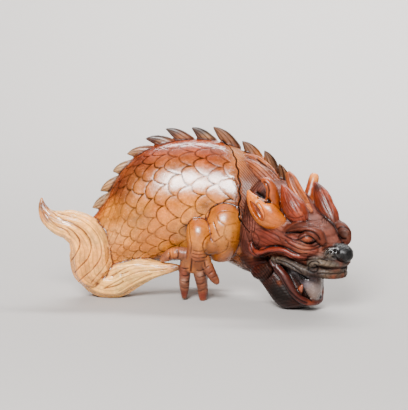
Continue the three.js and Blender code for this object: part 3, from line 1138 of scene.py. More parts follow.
class Carver:
    """Lays strokes drawn on the photograph onto the skin and works out their relief."""

    SPACING = 0.8  # pixels between samples of a stroke
    JUMP = 5.0  # millimetres; a longer step between samples is a jump to another form

    def __init__(self, skin: Skin, camera: PhotoCamera, head: Matrix) -> None:
        """Keeps the skin and what places strokes on it.

        Args:
            skin: The skin that is carved.
            camera: The photograph's camera.
            head: The head's own frame.
        """
        self.points = skin.points
        self.tree = skin.tree()
        self.camera = camera
        self.head = head
        self.groove = np.zeros(len(skin.points))
        self.ridge = np.zeros(len(skin.points))
        self.dark = np.zeros(len(skin.points))

    def hit(self, pixel: Pixel) -> np.ndarray | None:
        """Where the photograph's ray through a pixel meets the skin."""
        place = self.tree.ray_cast(self.camera.eye(), self.camera.ray(pixel))[0]
        return None if place is None else np.array(place)

    def samples(self, pixels: Sequence[Pixel]) -> list[np.ndarray]:
        """A drawn line as runs of points on the skin, broken where it leaves a form.

        Args:
            pixels: The line on the photograph.

        Returns:
            The runs.
        """
        path = np.array(pixels, float)
        step = np.linalg.norm(np.diff(path, axis=0), axis=1)
        count = max(int(step.sum() / self.SPACING), 2)
        reached = np.concatenate([[0], step.cumsum()])
        places = np.interp(np.linspace(0, step.sum(), count), reached, np.arange(len(path)))
        runs: list[list[np.ndarray]] = [[]]
        for pixel in stations(path, places):
            point = self.hit(tuple(pixel))
            if point is None or (runs[-1] and np.linalg.norm(point - runs[-1][-1]) > self.JUMP):
                runs.append([])
            if point is not None:
                runs[-1].append(point)
        return [np.array(run) for run in runs if len(run) > 1]

    def across(self, run: np.ndarray, twin: Twin) -> np.ndarray:
        """The run on the other side of a plane, laid on the skin there.

        Args:
            run: Points on the skin.
            twin: The plane.

        Returns:
            The twin's points.
        """
        if twin is Twin.HEAD:
            back = self.head.inverted()
            local = run @ np.array(back.to_3x3()).T + np.array(back.translation)
            local[:, 1] *= -1
            moved = local @ np.array(self.head.to_3x3()).T + np.array(self.head.translation)
        else:
            middle = np.interp(run[:, 0], BODY_MIDDLE_X, BODY_MIDDLE_Y)
            middle = {Twin.LEG: FAR_LEG_PLANE, Twin.TAIL: TAIL_PLANE}.get(twin, middle)
            moved = run.copy()
            moved[:, 1] = 2 * middle - run[:, 1]
        return np.array([tuple(self.tree.find_nearest(Vector(p))[0]) for p in moved.tolist()])

    def lay(self, stroke: Stroke) -> None:
        """Adds one stroke, and its twin if it has one.

        Args:
            stroke: The stroke.
        """
        runs = self.samples(stroke.pixels)
        if stroke.twin is not Twin.NONE:
            runs += [self.across(run, stroke.twin) for run in runs]
        for run in runs:
            self.press(run, stroke)

    def press(self, run: np.ndarray, stroke: Stroke) -> None:
        """Works one run of a stroke into the relief.

        Args:
            run: Points on the skin.
            stroke: The stroke.
        """
        reach = 2.6 * stroke.width
        low, high = run.min(0) - reach, run.max(0) + reach
        near = np.flatnonzero(((self.points > low) & (self.points < high)).all(1))
        if not len(near):
            return
        best = np.full(len(near), np.inf)
        along = np.zeros(len(near))
        spots = self.points[near]
        for number, (a, b) in enumerate(zip(run[:-1], run[1:], strict=True)):
            line = b - a
            share = np.clip(((spots - a) @ line) / max(line @ line, 1e-9), 0, 1)
            distance = np.linalg.norm(spots - a - share[:, None] * line, axis=1)
            better = distance < best
            best[better] = distance[better]
            along[better] = number + share[better]
        taper = smooth_step(np.minimum(along, len(run) - 1 - along), -0.4, 2.0)
        weight = np.exp(-((best / stroke.width) ** 2)) * taper
        if stroke.depth < 0:
            self.groove[near] = np.minimum(self.groove[near], stroke.depth * weight)
        else:
            self.ridge[near] = np.maximum(self.ridge[near], stroke.depth * weight)
        self.dark[near] = np.maximum(self.dark[near], stroke.dark * weight)


@dataclass(frozen=True)
class Scales:
    """Overlapping fish scales in staggered rows, their round free edges towards the tail."""

    reach: float = 0.62  # how far a free edge bulges towards the tail, as a share of the pitch
    half: float = 0.54  # half a scale's width, as a share of the spacing round the body
    lift: float = 0.03  # millimetres that a free edge stands proud
    groove: float = 0.1  # millimetres that the line round it is cut
    line: float = 0.32  # millimetres, half width of that line, drawn wider than the real one to show
    pitch_places: tuple[float, ...] = (0, 1.5, 3, 4.6, 5.6, 12)
    pitches: tuple[float, ...] = (6.4, 7.6, 9.8, 12.8, 15, 15)
    flank_degrees: tuple[float, ...] = (0, 40, 100, 140, 180)
    columns: tuple[float, ...] = (0, 3.0, 6.1, 8.7, 11.8)  # scales counted from the ridge to each of those
    start: float = 0.35
    row_wander: float = 0.08  # how far rows and columns wander, as a share of one scale

    def rows(self, place: np.ndarray) -> np.ndarray:
        """How many pitches each place lies from the tail root.

        Args:
            place: Places along the body.

        Returns:
            The number of pitches.
        """
        grid = np.linspace(0, len(BODY) - 1, 400)
        values = stations(BODY, grid)
        middle = np.stack([(values[:, 0] + values[:, 2]) / 2, (values[:, 1] + values[:, 3]) / 2], -1)
        step = np.linalg.norm(np.diff(middle, axis=0), axis=1)
        pitch = np.interp((grid[1:] + grid[:-1]) / 2, self.pitch_places, self.pitches)
        return np.interp(place, grid, np.concatenate([[0], (step / pitch).cumsum()])) + self.start

    def relief(
        self, place: np.ndarray, flank: np.ndarray, girth: np.ndarray
    ) -> tuple[np.ndarray, np.ndarray]:
        """Height and line strength.

        Args:
            place: Places along the body.
            flank: Degrees from the back ridge, negative on the far side.
            girth: Millimetres round the body for one turn, at each point.

        Returns:
            Heights in millimetres and line strengths from 0 to 1.
        """
        even = self.rows(place)
        c = np.interp(np.abs(flank), self.flank_degrees, self.columns) * np.sign(flank)
        r = even + self.row_wander * np.sin(3.7 * c + 1.3 * even)
        c = c + self.row_wander * np.sin(2.9 * even + 0.8 * c)
        columns_per_degree = np.diff(self.columns) / np.diff(self.flank_degrees)
        rate = np.interp(np.abs(flank), self.flank_degrees[1:], columns_per_degree)
        pitch = np.interp(place, self.pitch_places, self.pitches)
        width = girth / 360 / rate
        edge = np.full(len(r), 9.0)
        depth = np.full(len(r), 9.0)
        covered = np.zeros(len(r), bool)
        for step in (3, 2.5, 2, 1.5, 1, 0.5, 0, -0.5):
            base = np.floor(r * 2) / 2 + step
            odd = np.round(base * 2).astype(int) % 2
            shift = 0.5 * odd
            column = np.round(c - shift) + shift
            dc = (c - column) / self.half
            dr = (base - r) / self.reach
            bend = np.sqrt(np.maximum(dr, 0) ** 2 + dc**2)
            slope = np.sqrt((np.maximum(dr, 0) / (self.reach * pitch)) ** 2 + (dc / (self.half * width)) ** 2)
            distance = (bend - 1) * bend / np.maximum(slope, 1e-6)
            distance = np.where(np.abs(dc) > 1, np.abs(distance), distance)
            edge = np.where(~covered & (np.abs(distance) < edge), np.abs(distance), edge)
            inside = (distance < 0) & ~covered
            depth = np.where(inside, -distance, depth)
            covered |= distance < 0
        line = np.exp(-((edge / self.line) ** 2))
        height = self.lift * np.exp(-depth / 2.2) - self.groove * line
        return height, line


class Texture:
    """Patterned carving: scales, hair and rings, worked out from where each point lies on its form.

    comb counts the strands from one side of a form to the other, and hair is how deep they are cut.
    """

    HAIR_DEGREES = 3.6  # degrees round the neck between strands, twice the real spacing so that they show
    HAIR_SLANT = 14.0  # degrees that a strand climbs from one station of the body to the next
    TAIL_STRANDS = 30  # round a tail lobe
    TOE_RINGS = 4.2  # rings from one station of a toe to the next
    STRANDS: tuple[tuple[Part, float, float], ...] = (
        (Part.SPINE, 1.7, 0.8),
        (Part.MANE, 2.2, 0.85),
        (Part.CREST_LOCK, 1.8, 0.8),
        (Part.BROW_FLAME, 2.6, 0.6),
        (Part.JAW_LOCK, 2.0, 0.75),
        (Part.EAR, 2.0, 0.25),
    )  # strands in half a form's width, and how deep they are cut
    FACE = (
        Part.SKULL,
        Part.JAW,
        Part.MOUTH,
        Part.CHEEK,
        Part.BROW,
        Part.UPPER_LIP,
        Part.LIP_CURL,
        Part.JAW_LOCK,
    )
    WORKED: tuple[tuple[float, tuple[Part, ...]], ...] = (
        (1.2, FACE),
        (0.7, (Part.TOE, Part.SPINE, Part.MANE)),
        (0.7, (Part.BROW_FLAME, Part.CREST_LOCK, Part.LOWER_LIP, Part.CHEEK_CORD, Part.EYE)),
        (0.9, (Part.NOSE_TIP,)),
        (0.5, (Part.HORN,)),
        (0.25, (Part.ARM, Part.EAR)),
    )  # how much less polish a form has than the scales

    def __init__(self, skin: Skin, marks: Marks, head: Matrix) -> None:
        """Works out every field.

        Args:
            skin: The skin.
            marks: What each of its points belongs to.
            head: The head's own frame.
        """
        count = len(skin.points)
        self.marks = marks
        self.height, self.dark, self.comb, self.hair, self.dull = (np.zeros(count) for _ in range(5))
        back = head.inverted()
        self.local = skin.points @ np.array(back.to_3x3()).T + np.array(back.translation)
        turn = (marks.angle - 90 + 180) % 360 - 180
        self.flank = turn
        self.neck = self.neck_share(marks.place, np.abs(turn)) * marks.on(Part.BODY)
        self.add_scales()
        self.add_neck()
        self.add_strands()
        self.dull += self.neck
        for share, parts in self.WORKED:
            self.dull += share * marks.on(*parts)

    @staticmethod
    def crack_place(flank: np.ndarray) -> np.ndarray:
        """Where along the body the crack runs, for degrees from the back ridge."""
        return 7.62 + 0.85 * smooth_step(flank, 0, 90) + 0.5 * smooth_step(flank, 90, 150)

    @staticmethod
    def neck_share(place: np.ndarray, flank: np.ndarray) -> np.ndarray:
        """1 in front of the crack, where the mane begins, and 0 on the scaly body."""
        crack = Texture.crack_place(flank)
        return smooth_step(place, crack - 0.06, crack + 0.06)

    def add_scales(self) -> None:
        """Scales over the body, fainter towards the tail."""
        marks = self.marks
        values = stations(BODY, marks.place)
        half_height = np.hypot(values[:, 0] - values[:, 2], values[:, 1] - values[:, 3]) / 2
        relief, line = Scales().relief(marks.place, self.flank, np.pi * (half_height + values[:, 5]))
        share = marks.on(Part.BODY) * (1 - self.neck) * smooth_step(np.abs(self.flank), 9, 16)
        self.height += relief * share
        border = np.exp(-(((marks.place - self.crack_place(np.abs(self.flank))) / 0.035) ** 2))
        border *= marks.on(Part.BODY) * (self.flank < 0)
        self.height -= 0.3 * border
        self.dark += 0.6 * border
        self.dark += (0.55 + 0.65 * smooth_step(marks.place, 1, 4)) * line * share

    def add_neck(self) -> None:
        """Mane strands that slant down the upper neck and hang at the throat."""
        flank = np.abs(self.flank)
        low = flank > 96
        slanted = (flank - self.HAIR_SLANT * self.marks.place) / self.HAIR_DEGREES
        hanging = self.marks.place * 8.5
        share = self.neck * smooth_step(np.abs(flank - 96), 0.5, 4)
        self.comb += np.where(low, hanging, slanted) * self.neck
        self.hair += 0.8 * share

    def add_strands(self) -> None:
        """Strands along locks, flames, blades and lobes, and rings round the toes."""
        marks = self.marks
        across = np.sin(np.radians(marks.angle))
        for part, strands, depth in self.STRANDS:
            share = marks.on(part)
            self.comb += across * strands * share
            self.hair += depth * share
        tail = marks.on(Part.TAIL_UPPER, Part.TAIL_LOWER)
        self.comb += marks.angle / 360 * self.TAIL_STRANDS * tail
        self.hair += 0.42 * tail
        toes = marks.on(Part.TOE)
        self.comb += marks.place * self.TOE_RINGS * toes
        self.hair += 0.3 * toes
        forward, _, up = self.local.T
        muzzle = marks.on(Part.NOSE_TIP, Part.NOSE_WING, Part.LIP_CURL, Part.UPPER_LIP)
        self.comb += (0.5 * forward + 0.3 * np.sin(1.3 * up)) * muzzle
        self.hair += 0.5 * muzzle
        face = marks.on(Part.SKULL, Part.CHEEK)
        nape = face * smooth_step(forward, 6, -4)
        self.comb += (0.42 * up + 0.3 * np.sin(0.3 * forward)) * face * (nape < 0.5)
        self.comb += (0.5 * forward + 0.2 * np.sin(0.25 * up)) * face * (nape >= 0.5)
        self.hair += (0.5 + 0.35 * nape) * face
        jaw = marks.on(Part.JAW)
        self.comb += (up * 0.5 - forward * 0.3) * jaw
        self.hair += 0.55 * jaw


@dataclass(frozen=True)
class Blot:
    """A soft patch of colour round a spot of the photograph; most are stains of the stone, a few are painted
    shade and a few painted highlights.
    """

    name: str
    pixel: Pixel
    radius: float
    colour: str
    strength: float = 1.0
    twin: Twin = Twin.NONE


class Painter:
    """Mixes the stone's stains, painted shade and painted highlights into one colour for each point of the
    skin.
    """

    BASE: dict[Part, str] = {
        Part.BODY: "#c47a22",
        Part.TAIL_UPPER: "#f0b060",
        Part.TAIL_LOWER: "#f4ba66",
        Part.SPINE: "#96704e",
        Part.MANE: "#84421c",
        Part.ARM: "#a86018",
        Part.TOE: "#5e2814",
        Part.SKULL: "#6c3c31",
        Part.JAW: "#32140a",
        Part.MOUTH: "#280f0a",
        Part.CHEEK: "#5e2c22",
        Part.CHEEK_CORD: "#5c1e0c",
        Part.EYE: "#3c160c",
        Part.UPPER_LIP: "#3c3431",
        Part.LIP_CURL: "#403a37",
        Part.NOSE_WING: "#171312",
        Part.LOWER_LIP: "#360f07",
        Part.FANG: "#6e3822",
        Part.JAW_LOCK: "#2a130c",
        Part.EAR: "#b25c04",
        Part.HORN: "#7c360c",
        Part.BROW_FLAME: "#702608",
        Part.BROW: "#482014",
        Part.CREST_LOCK: "#96491d",
        Part.NOSE_TIP: "#0c0a0a",
        Part.TONGUE: "#6e666f",
        Part.EAR_HOLLOW: "#8a3c0e",
    }

    # Painted shade: the deepest hollows are darkened towards this tint.
    HOLLOW_SHADE_TINT = (0.36, 0.22, 0.15)  # what is left of red, green and blue in the deepest hollow

    def __init__(self, skin: Skin, marks: Marks, carver: Carver) -> None:
        """Starts with each part's own stain.

        Args:
            skin: The skin.
            marks: What each of its points belongs to.
            carver: What places spots of the photograph on the skin.
        """
        self.points = skin.points
        self.marks = marks
        self.carver = carver
        colours = np.zeros((len(Part), 3))
        for part, code in self.BASE.items():
            colours[part.value] = linear(code)
        self.colour = colours[marks.part]

    def blend(self, weight: np.ndarray, code: str) -> None:
        """Draws every point towards a colour by its weight."""
        weight = np.clip(weight, 0, 1)[:, None]
        self.colour += (np.array(linear(code)) - self.colour) * weight

    def blot(self, blot: Blot) -> None:
        """Adds a soft patch, and its twin if it has one.

        Args:
            blot: The patch.
        """
        spot = self.carver.hit(blot.pixel)
        if spot is None:
            return
        spots = [spot]
        if blot.twin is not Twin.NONE:
            spots.append(self.carver.across(spot[None], blot.twin)[0])
        for place in spots:
            distance = np.linalg.norm(self.points - place, axis=1)
            self.blend(blot.strength * smooth_step(distance, blot.radius, 0.25 * blot.radius), blot.colour)

    def wash(self, texture: Texture) -> None:
        """Colours that follow the forms: neck, back, belly, blade edges, tips and nails, and darker where the
        head meets the neck.

        Args:
            texture: The carving's fields.
        """
        marks = self.marks
        body = marks.on(Part.BODY)
        flank = np.abs(texture.flank)
        self.blend(0.85 * body * (1 - texture.neck) * smooth_step(flank, 66, 20), "#862e08")
        self.blend(0.5 * body * smooth_step(flank, 120, 165), "#c0824a")
        self.blend(0.85 * texture.neck, "#98561f")
        # Darker lower neck, and darker body and skull where the head meets the neck.
        self.blend(0.9 * texture.neck * smooth_step(flank, 80, 112), "#36120a")
        self.blend(0.8 * body * smooth_step(texture.local[:, 0], -26, -10), "#4c1f0e")
        nape = marks.on(Part.SKULL, Part.JAW) * smooth_step(texture.local[:, 0], 6, -8)
        self.blend(0.85 * nape, "#38170d")
        spine = marks.on(Part.SPINE)
        rear = spine * (marks.index < 4)
        middle = spine * ((marks.index >= 4) & (marks.index < 7))
        front = spine * (marks.index >= 7)
        rim = smooth_step(np.abs(np.sin(np.radians(marks.angle))), 0.45, 0.9)
        self.blend(0.8 * rear, "#b48a5e")
        self.blend(0.95 * middle * smooth_step(marks.place, 1.5, 4), "#3c302a")
        self.blend(0.75 * front, "#5c3012")
        dark_rim = np.interp(marks.index, (0, 3, 4, 6, 7, 10), (0.45, 0.65, 0.95, 0.9, 0.8, 0.7))
        self.blend(dark_rim * spine * rim * smooth_step(marks.place, 0.5, 2), "#1a0f0c")
        self.blend(0.7 * spine * smooth_step(marks.place, 2.2, 0.8), "#4a1c12")
        toes = marks.on(Part.TOE)
        self.blend(0.7 * toes * smooth_step(marks.place, 1.6, 0.4), "#a0602a")
        rings = np.cos(2 * np.pi * texture.TOE_RINGS * marks.place + 0.6)
        self.blend(0.45 * toes * smooth_step(rings, 0.2, 1), "#b08868")

    def paint_hollow_shade(self, skin: Skin) -> None:
        """Painted shade that darkens the hollows, and a paler polish on what stands proud.

        Args:
            skin: The carved skin.
        """
        normals = skin.normals()
        for rounds, low, high in ((6, 0.02, 0.09), (36, 0.08, 0.4)):
            inward = ((skin.relaxed(rounds).points - skin.points) * normals).sum(1)
            # Painted shade: the deeper a spot lies in a hollow, the darker its colour.
            hollow = (smooth_step(inward, low, high) * ~self.marks.on(Part.EAR_HOLLOW))[:, None]
            self.colour *= 1 - 0.85 * hollow * (1 - np.array(self.HOLLOW_SHADE_TINT))
            proud = smooth_step(-inward, low, high) * ~self.marks.on(Part.SPINE)
            self.colour *= 1 + 0.2 * proud[:, None]

    def soften(self, faces: np.ndarray, rounds: int) -> None:
        """Lets the stains run into each other."""
        self.colour = Skin(self.colour, faces).relaxed(rounds, 0.7).points


def add_node(
    tree: bpy.types.NodeTree, kind: str, settings: dict | None = None, links: dict | None = None
) -> bpy.types.Node:
    """Adds one node.

    Args:
        tree: The node tree.
        kind: The node's type.
        settings: Attribute values, and input values where the key names an input.
        links: Output sockets for inputs.

    Returns:
        The node.
    """
    node = tree.nodes.new(kind)
    for key, value in (settings or {}).items():
        if isinstance(key, str) and hasattr(node, key):
            setattr(node, key, value)
        else:
            node.inputs[key].default_value = value
    for key, socket in (links or {}).items():
        tree.links.new(socket, node.inputs[key])
    return node


@dataclass(frozen=True)
class JadeFinish:
    """Polished jade with a warm skin: glossy, a little translucent, clouded and veined.

    The stone is nephrite, carved, stained by hand and polished with fine grit, so the eye gets crisp lights
    on the scales and deep, warm colour below them. The stains come with the skin, and with them the painted
    shade of the hollows and a few painted highlights. The patterns are in real millimetres, and the strands
    are about twice as coarse as the real ones so that they show.
    """

    drift_mm: float = 26.0  # broad warm and pale regions of the stone
    cloud_mm: float = 9.0  # clouds that make one scale lighter than the next
    vein_mm: float = 2.4  # mottling inside a scale
    grain_mm: float = 1.1  # the small waves that hand polishing leaves
    grain_depth_mm: float = 0.16
    strand_depth_mm: float = 0.3
    translucency: float = 0.12  # a soft glow at thin edges and in the ears
    glow_mm: float = 1.6
    warm_tint: tuple[float, float, float, float] = (0.95, 0.74, 0.5, 1.0)

    def material(self) -> bpy.types.Material:
        """The material, put together from its patterns.

        Returns:
            The material.
        """
        made = bpy.data.materials.new("polished_jade")
        made.use_nodes = True
        tree = made.node_tree
        tree.nodes.clear()
        place = add_node(tree, "ShaderNodeTexCoord").outputs["Object"]
        fields = {}
        for name in ("line", "comb", "hair", "dull"):
            fields[name] = add_node(tree, "ShaderNodeAttribute", {"attribute_name": name}).outputs["Fac"]
        for name, size, detail, roughness in (
            ("clouds", self.cloud_mm, 4.0, 0.55),
            ("drift", self.drift_mm, 3.0, 0.5),
            ("veins", self.vein_mm, 5.0, 0.65),
            ("grain", self.grain_mm, 3.0, 0.5),
        ):
            settings = {"Scale": 1 / (size * MM), "Detail": detail, "Roughness": roughness}
            fields[name] = add_node(tree, "ShaderNodeTexNoise", settings, {"Vector": place}).outputs["Fac"]
        fields["strands"] = self.strands(tree, fields)
        fields["shade"] = self.shade(tree, fields)
        self.finish(tree, fields, self.colour(tree, fields), self.normal(tree, fields))
        return made

    @staticmethod
    def strands(tree: bpy.types.NodeTree, fields: Sockets) -> bpy.types.NodeSocket:
        """Fine hair strands, worn away here and there, which make hair and tail look combed.

        Args:
            tree: The node tree.
            fields: The patterns so far.

        Returns:
            The depth of the strands, from 0 to 1.
        """
        settings = {"operation": "MULTIPLY", 1: 2 * math.pi}
        turn = add_node(tree, "ShaderNodeMath", settings, {0: fields["comb"]})
        wave = add_node(tree, "ShaderNodeMath", {"operation": "SINE"}, {0: turn.outputs[0]})
        strand = add_node(tree, "ShaderNodeMapRange", {1: 0.1, 2: 1.0, 3: 0.0, 4: 1.0}, {0: wave.outputs[0]})
        wear = add_node(tree, "ShaderNodeMapRange", {1: 0.35, 2: 0.6, 3: 0.35, 4: 1.0}, {0: fields["veins"]})
        links = {0: wear.outputs[0], 1: fields["hair"]}
        worn = add_node(tree, "ShaderNodeMath", {"operation": "MULTIPLY"}, links)
        links = {0: strand.outputs[0], 1: worn.outputs[0]}
        return add_node(tree, "ShaderNodeMath", {"operation": "MULTIPLY"}, links).outputs[0]

    @staticmethod
    def shade(tree: bpy.types.NodeTree, fields: Sockets) -> bpy.types.NodeSocket:
        """Dark stain that has settled in the cut lines and strands.

        Args:
            tree: The node tree.
            fields: The patterns so far.

        Returns:
            What is left of the light, from 1 on the polish down to the darkest line.
        """
        wear = add_node(tree, "ShaderNodeMapRange", {1: 0.36, 2: 0.56, 3: 0.5, 4: 1.0}, {0: fields["clouds"]})
        links = {0: wear.outputs[0], 1: fields["line"]}
        worn = add_node(tree, "ShaderNodeMath", {"operation": "MULTIPLY"}, links)
        links = {0: fields["strands"], 1: worn.outputs[0]}
        cut = add_node(tree, "ShaderNodeMath", {"operation": "MAXIMUM"}, links)
        return add_node(
            tree, "ShaderNodeMapRange", {1: 0.0, 2: 1.0, 3: 1.0, 4: 0.1}, {0: cut.outputs[0]}
        ).outputs[0]

    def colour(self, tree: bpy.types.NodeTree, fields: Sockets) -> bpy.types.NodeSocket:
        """The stain, with its painted shade and painted highlights, given warm drifts, clouds and veins and
        darkened in the lines.

        Args:
            tree: The node tree.
            fields: The patterns so far.

        Returns:
            The colour.
        """
        # The stain attribute also carries painted shade and painted highlights.
        stain = add_node(tree, "ShaderNodeAttribute", {"attribute_name": "stain"})
        drift = add_node(tree, "ShaderNodeMapRange", {1: 0.4, 2: 0.6, 3: 0.0, 4: 1.0}, {0: fields["drift"]})
        tinted = add_node(
            tree,
            "ShaderNodeMix",
            {"data_type": "RGBA", "blend_type": "MULTIPLY", 7: self.warm_tint},
            {0: drift.outputs[0], 6: stain.outputs["Color"]},
        )
        settings = {1: 0.32, 2: 0.68, 3: 0.7, 4: 1.24}
        clouds = add_node(tree, "ShaderNodeMapRange", settings, {0: fields["clouds"]})
        settings = {1: 0.32, 2: 0.68, 3: 0.72, 4: 1.22}
        veins = add_node(tree, "ShaderNodeMapRange", settings, {0: fields["veins"]})
        links = {0: clouds.outputs[0], 1: veins.outputs[0]}
        mottle = add_node(tree, "ShaderNodeMath", {"operation": "MULTIPLY"}, links)
        links = {0: tinted.outputs[2], "Scale": mottle.outputs[0]}
        clouded = add_node(tree, "ShaderNodeVectorMath", {"operation": "SCALE"}, links)
        links = {0: clouded.outputs[0], "Scale": fields["shade"]}
        return add_node(tree, "ShaderNodeVectorMath", {"operation": "SCALE"}, links).outputs[0]

    def normal(self, tree: bpy.types.NodeTree, fields: Sockets) -> bpy.types.NodeSocket:
        """Small waves of hand polish, rougher on the worked parts, under the cut strands.

        Args:
            tree: The node tree.
            fields: The patterns so far.

        Returns:
            The normal.
        """
        worked = add_node(tree, "ShaderNodeMapRange", {1: 0.0, 2: 1.0, 3: 0.35, 4: 1.5}, {0: fields["dull"]})
        links = {0: fields["grain"], 1: worked.outputs[0]}
        waves = add_node(tree, "ShaderNodeMath", {"operation": "MULTIPLY"}, links)
        settings = {"Strength": 0.6, "Distance": self.grain_depth_mm * MM}
        polish = add_node(tree, "ShaderNodeBump", settings, {"Height": waves.outputs[0]})
        settings = {"invert": True, "Strength": 0.7, "Distance": self.strand_depth_mm * MM}
        links = {"Height": fields["strands"], "Normal": polish.outputs[0]}
        return add_node(tree, "ShaderNodeBump", settings, links).outputs[0]

    def finish(
        self,
        tree: bpy.types.NodeTree,
        fields: Sockets,
        colour: bpy.types.NodeSocket,
        normal: bpy.types.NodeSocket,
    ) -> None:
        """The surface: bright polish on scales and limbs, soft sheen on face and hair, none in the lines.

        Args:
            tree: The node tree.
            fields: The patterns.
            colour: The stone's colour.
            normal: Its normal.
        """
        gloss = add_node(tree, "ShaderNodeMapRange", {1: 0.3, 2: 0.7, 3: 0.18, 4: 0.32}, {0: fields["veins"]})
        roughness = add_node(
            tree,
            "ShaderNodeMath",
            {"operation": "MULTIPLY_ADD", 1: 0.24},
            {0: fields["dull"], 2: gloss.outputs[0]},
        )
        polish = add_node(tree, "ShaderNodeMapRange", {1: 0.0, 2: 1.2, 3: 0.5, 4: 0.14}, {0: fields["dull"]})
        coat = add_node(tree, "ShaderNodeMapRange", {1: 0.0, 2: 1.2, 3: 0.12, 4: 0.04}, {0: fields["dull"]})
        links = {0: polish.outputs[0], 1: fields["shade"]}
        shine = add_node(tree, "ShaderNodeMath", {"operation": "MULTIPLY"}, links)
        shader = add_node(
            tree,
            "ShaderNodeBsdfPrincipled",
            {
                "IOR": 1.61,
                "Subsurface Weight": self.translucency,
                "Subsurface Radius": (1.0, 0.5, 0.25),
                "Subsurface Scale": self.glow_mm * MM,
                "Coat Roughness": 0.12,
            },
            {
                "Base Color": colour,
                "Roughness": roughness.outputs[0],
                "Normal": normal,
                "Specular IOR Level": shine.outputs[0],
                "Coat Weight": coat.outputs[0],
            },
        )
        add_node(tree, "ShaderNodeOutputMaterial", links={"Surface": shader.outputs[0]})


@dataclass(frozen=True)
class PaperFinish:
    """A plain matt surface, which gives the eye nothing to rest on but the figure's soft shadow."""

    name: str
    colour: str
    roughness: float = 0.9

    def material(self) -> bpy.types.Material:
        """An even, matt colour.

        Returns:
            The material.
        """
        made = bpy.data.materials.new(self.name)
        made.use_nodes = True
        shader = made.node_tree.nodes["Principled BSDF"]
        shader.inputs["Base Color"].default_value = (*linear(self.colour), 1)
        shader.inputs["Roughness"].default_value = self.roughness
        shader.inputs["Specular IOR Level"].default_value = 0.1
        return made


@dataclass(frozen=True)
class Softbox:
    """A rectangular studio lamp that faces a spot near the figure."""

    name: str
    place: tuple[float, float, float]
    aim: tuple[float, float, float]
    width: float
    height: float
    watts: float

    def build(self) -> bpy.types.Object:
        """Sets up the lamp.

        Returns:
            The lamp.
        """
        data = bpy.data.lights.new(self.name, "AREA")
        data.shape = "RECTANGLE"
        data.size, data.size_y = self.width, self.height
        data.energy = self.watts
        made = bpy.data.objects.new(self.name, data)
        made.location = self.place
        made.rotation_euler = (Vector(self.aim) - Vector(self.place)).to_track_quat("-Z", "Y").to_euler()
        bpy.context.scene.collection.objects.link(made)
        return made


@dataclass
class Studio:
    """Floor, backdrop, lamps and camera."""

    placement: Placement
    camera: PhotoCamera = field(default_factory=PhotoCamera)
    lamps: tuple[Softbox, ...] = (
        Softbox("front_softbox", (-0.16, -0.85, 0.64), (0.0, 0.0, 0.05), 0.4, 0.34, 32.0),
        Softbox("top_softbox", (0.0, 0.2, 1.2), (0.0, 0.0, 0.0), 1.3, 0.9, 4.5),
        Softbox("backdrop_softbox", (0.3, 0.45, 1.0), (0.4, 1.1, 0.25), 1.3, 0.4, 56.0),
    )

    def build(self) -> None:
        """Adds all of it to the scene."""
        self.add_camera()
        for lamp in self.lamps:
            lamp.build()
        world = bpy.data.worlds.new("studio_air")
        world.use_nodes = True
        background = world.node_tree.nodes["Background"]
        background.inputs["Color"].default_value = (1, 1, 1, 1)
        background.inputs["Strength"].default_value = 0.17
        bpy.context.scene.world = world
        self.add_floor()

    def add_camera(self) -> None:
        """The photograph's camera."""
        data = bpy.data.cameras.new("photo_camera")
        data.lens, data.sensor_width = self.camera.lens, self.camera.film
        data.clip_start, data.clip_end = 0.01, 20
        made = bpy.data.objects.new("photo_camera", data)
        place = np.array(self.camera.eye()) * self.placement.scale + self.placement.shift()
        made.location = Vector(place.tolist())
        made.rotation_euler = (-self.camera.backward()).to_track_quat("-Z", "Y").to_euler()
        bpy.context.scene.collection.objects.link(made)
        bpy.context.scene.camera = made

    def add_floor(self) -> None:
        """One sheet that is the floor and curves up behind the figure."""
        half, front, back, rise, bend = 9.0, -9.0, 0.55, 2.4, 0.5
        profile = [(front, 0.0), (back, 0.0)]
        arc = np.linspace(0, math.pi / 2, 16)[1:]
        profile += [(back + bend * math.sin(a), bend - bend * math.cos(a)) for a in arc]
        profile.append((back + bend, rise))
        points = [(x, y, z) for y, z in profile for x in (-half, half)]
        faces = [(2 * k, 2 * k + 1, 2 * k + 3, 2 * k + 2) for k in range(len(profile) - 1)]
        mesh = bpy.data.meshes.new("paper_sweep")
        mesh.from_pydata(points, [], faces)
        mesh.shade_smooth()
        mesh.materials.append(PaperFinish("grey_paper", "#a5a19e").material())
        floor = bpy.data.objects.new("paper_sweep", mesh)
        bpy.context.scene.collection.objects.link(floor)


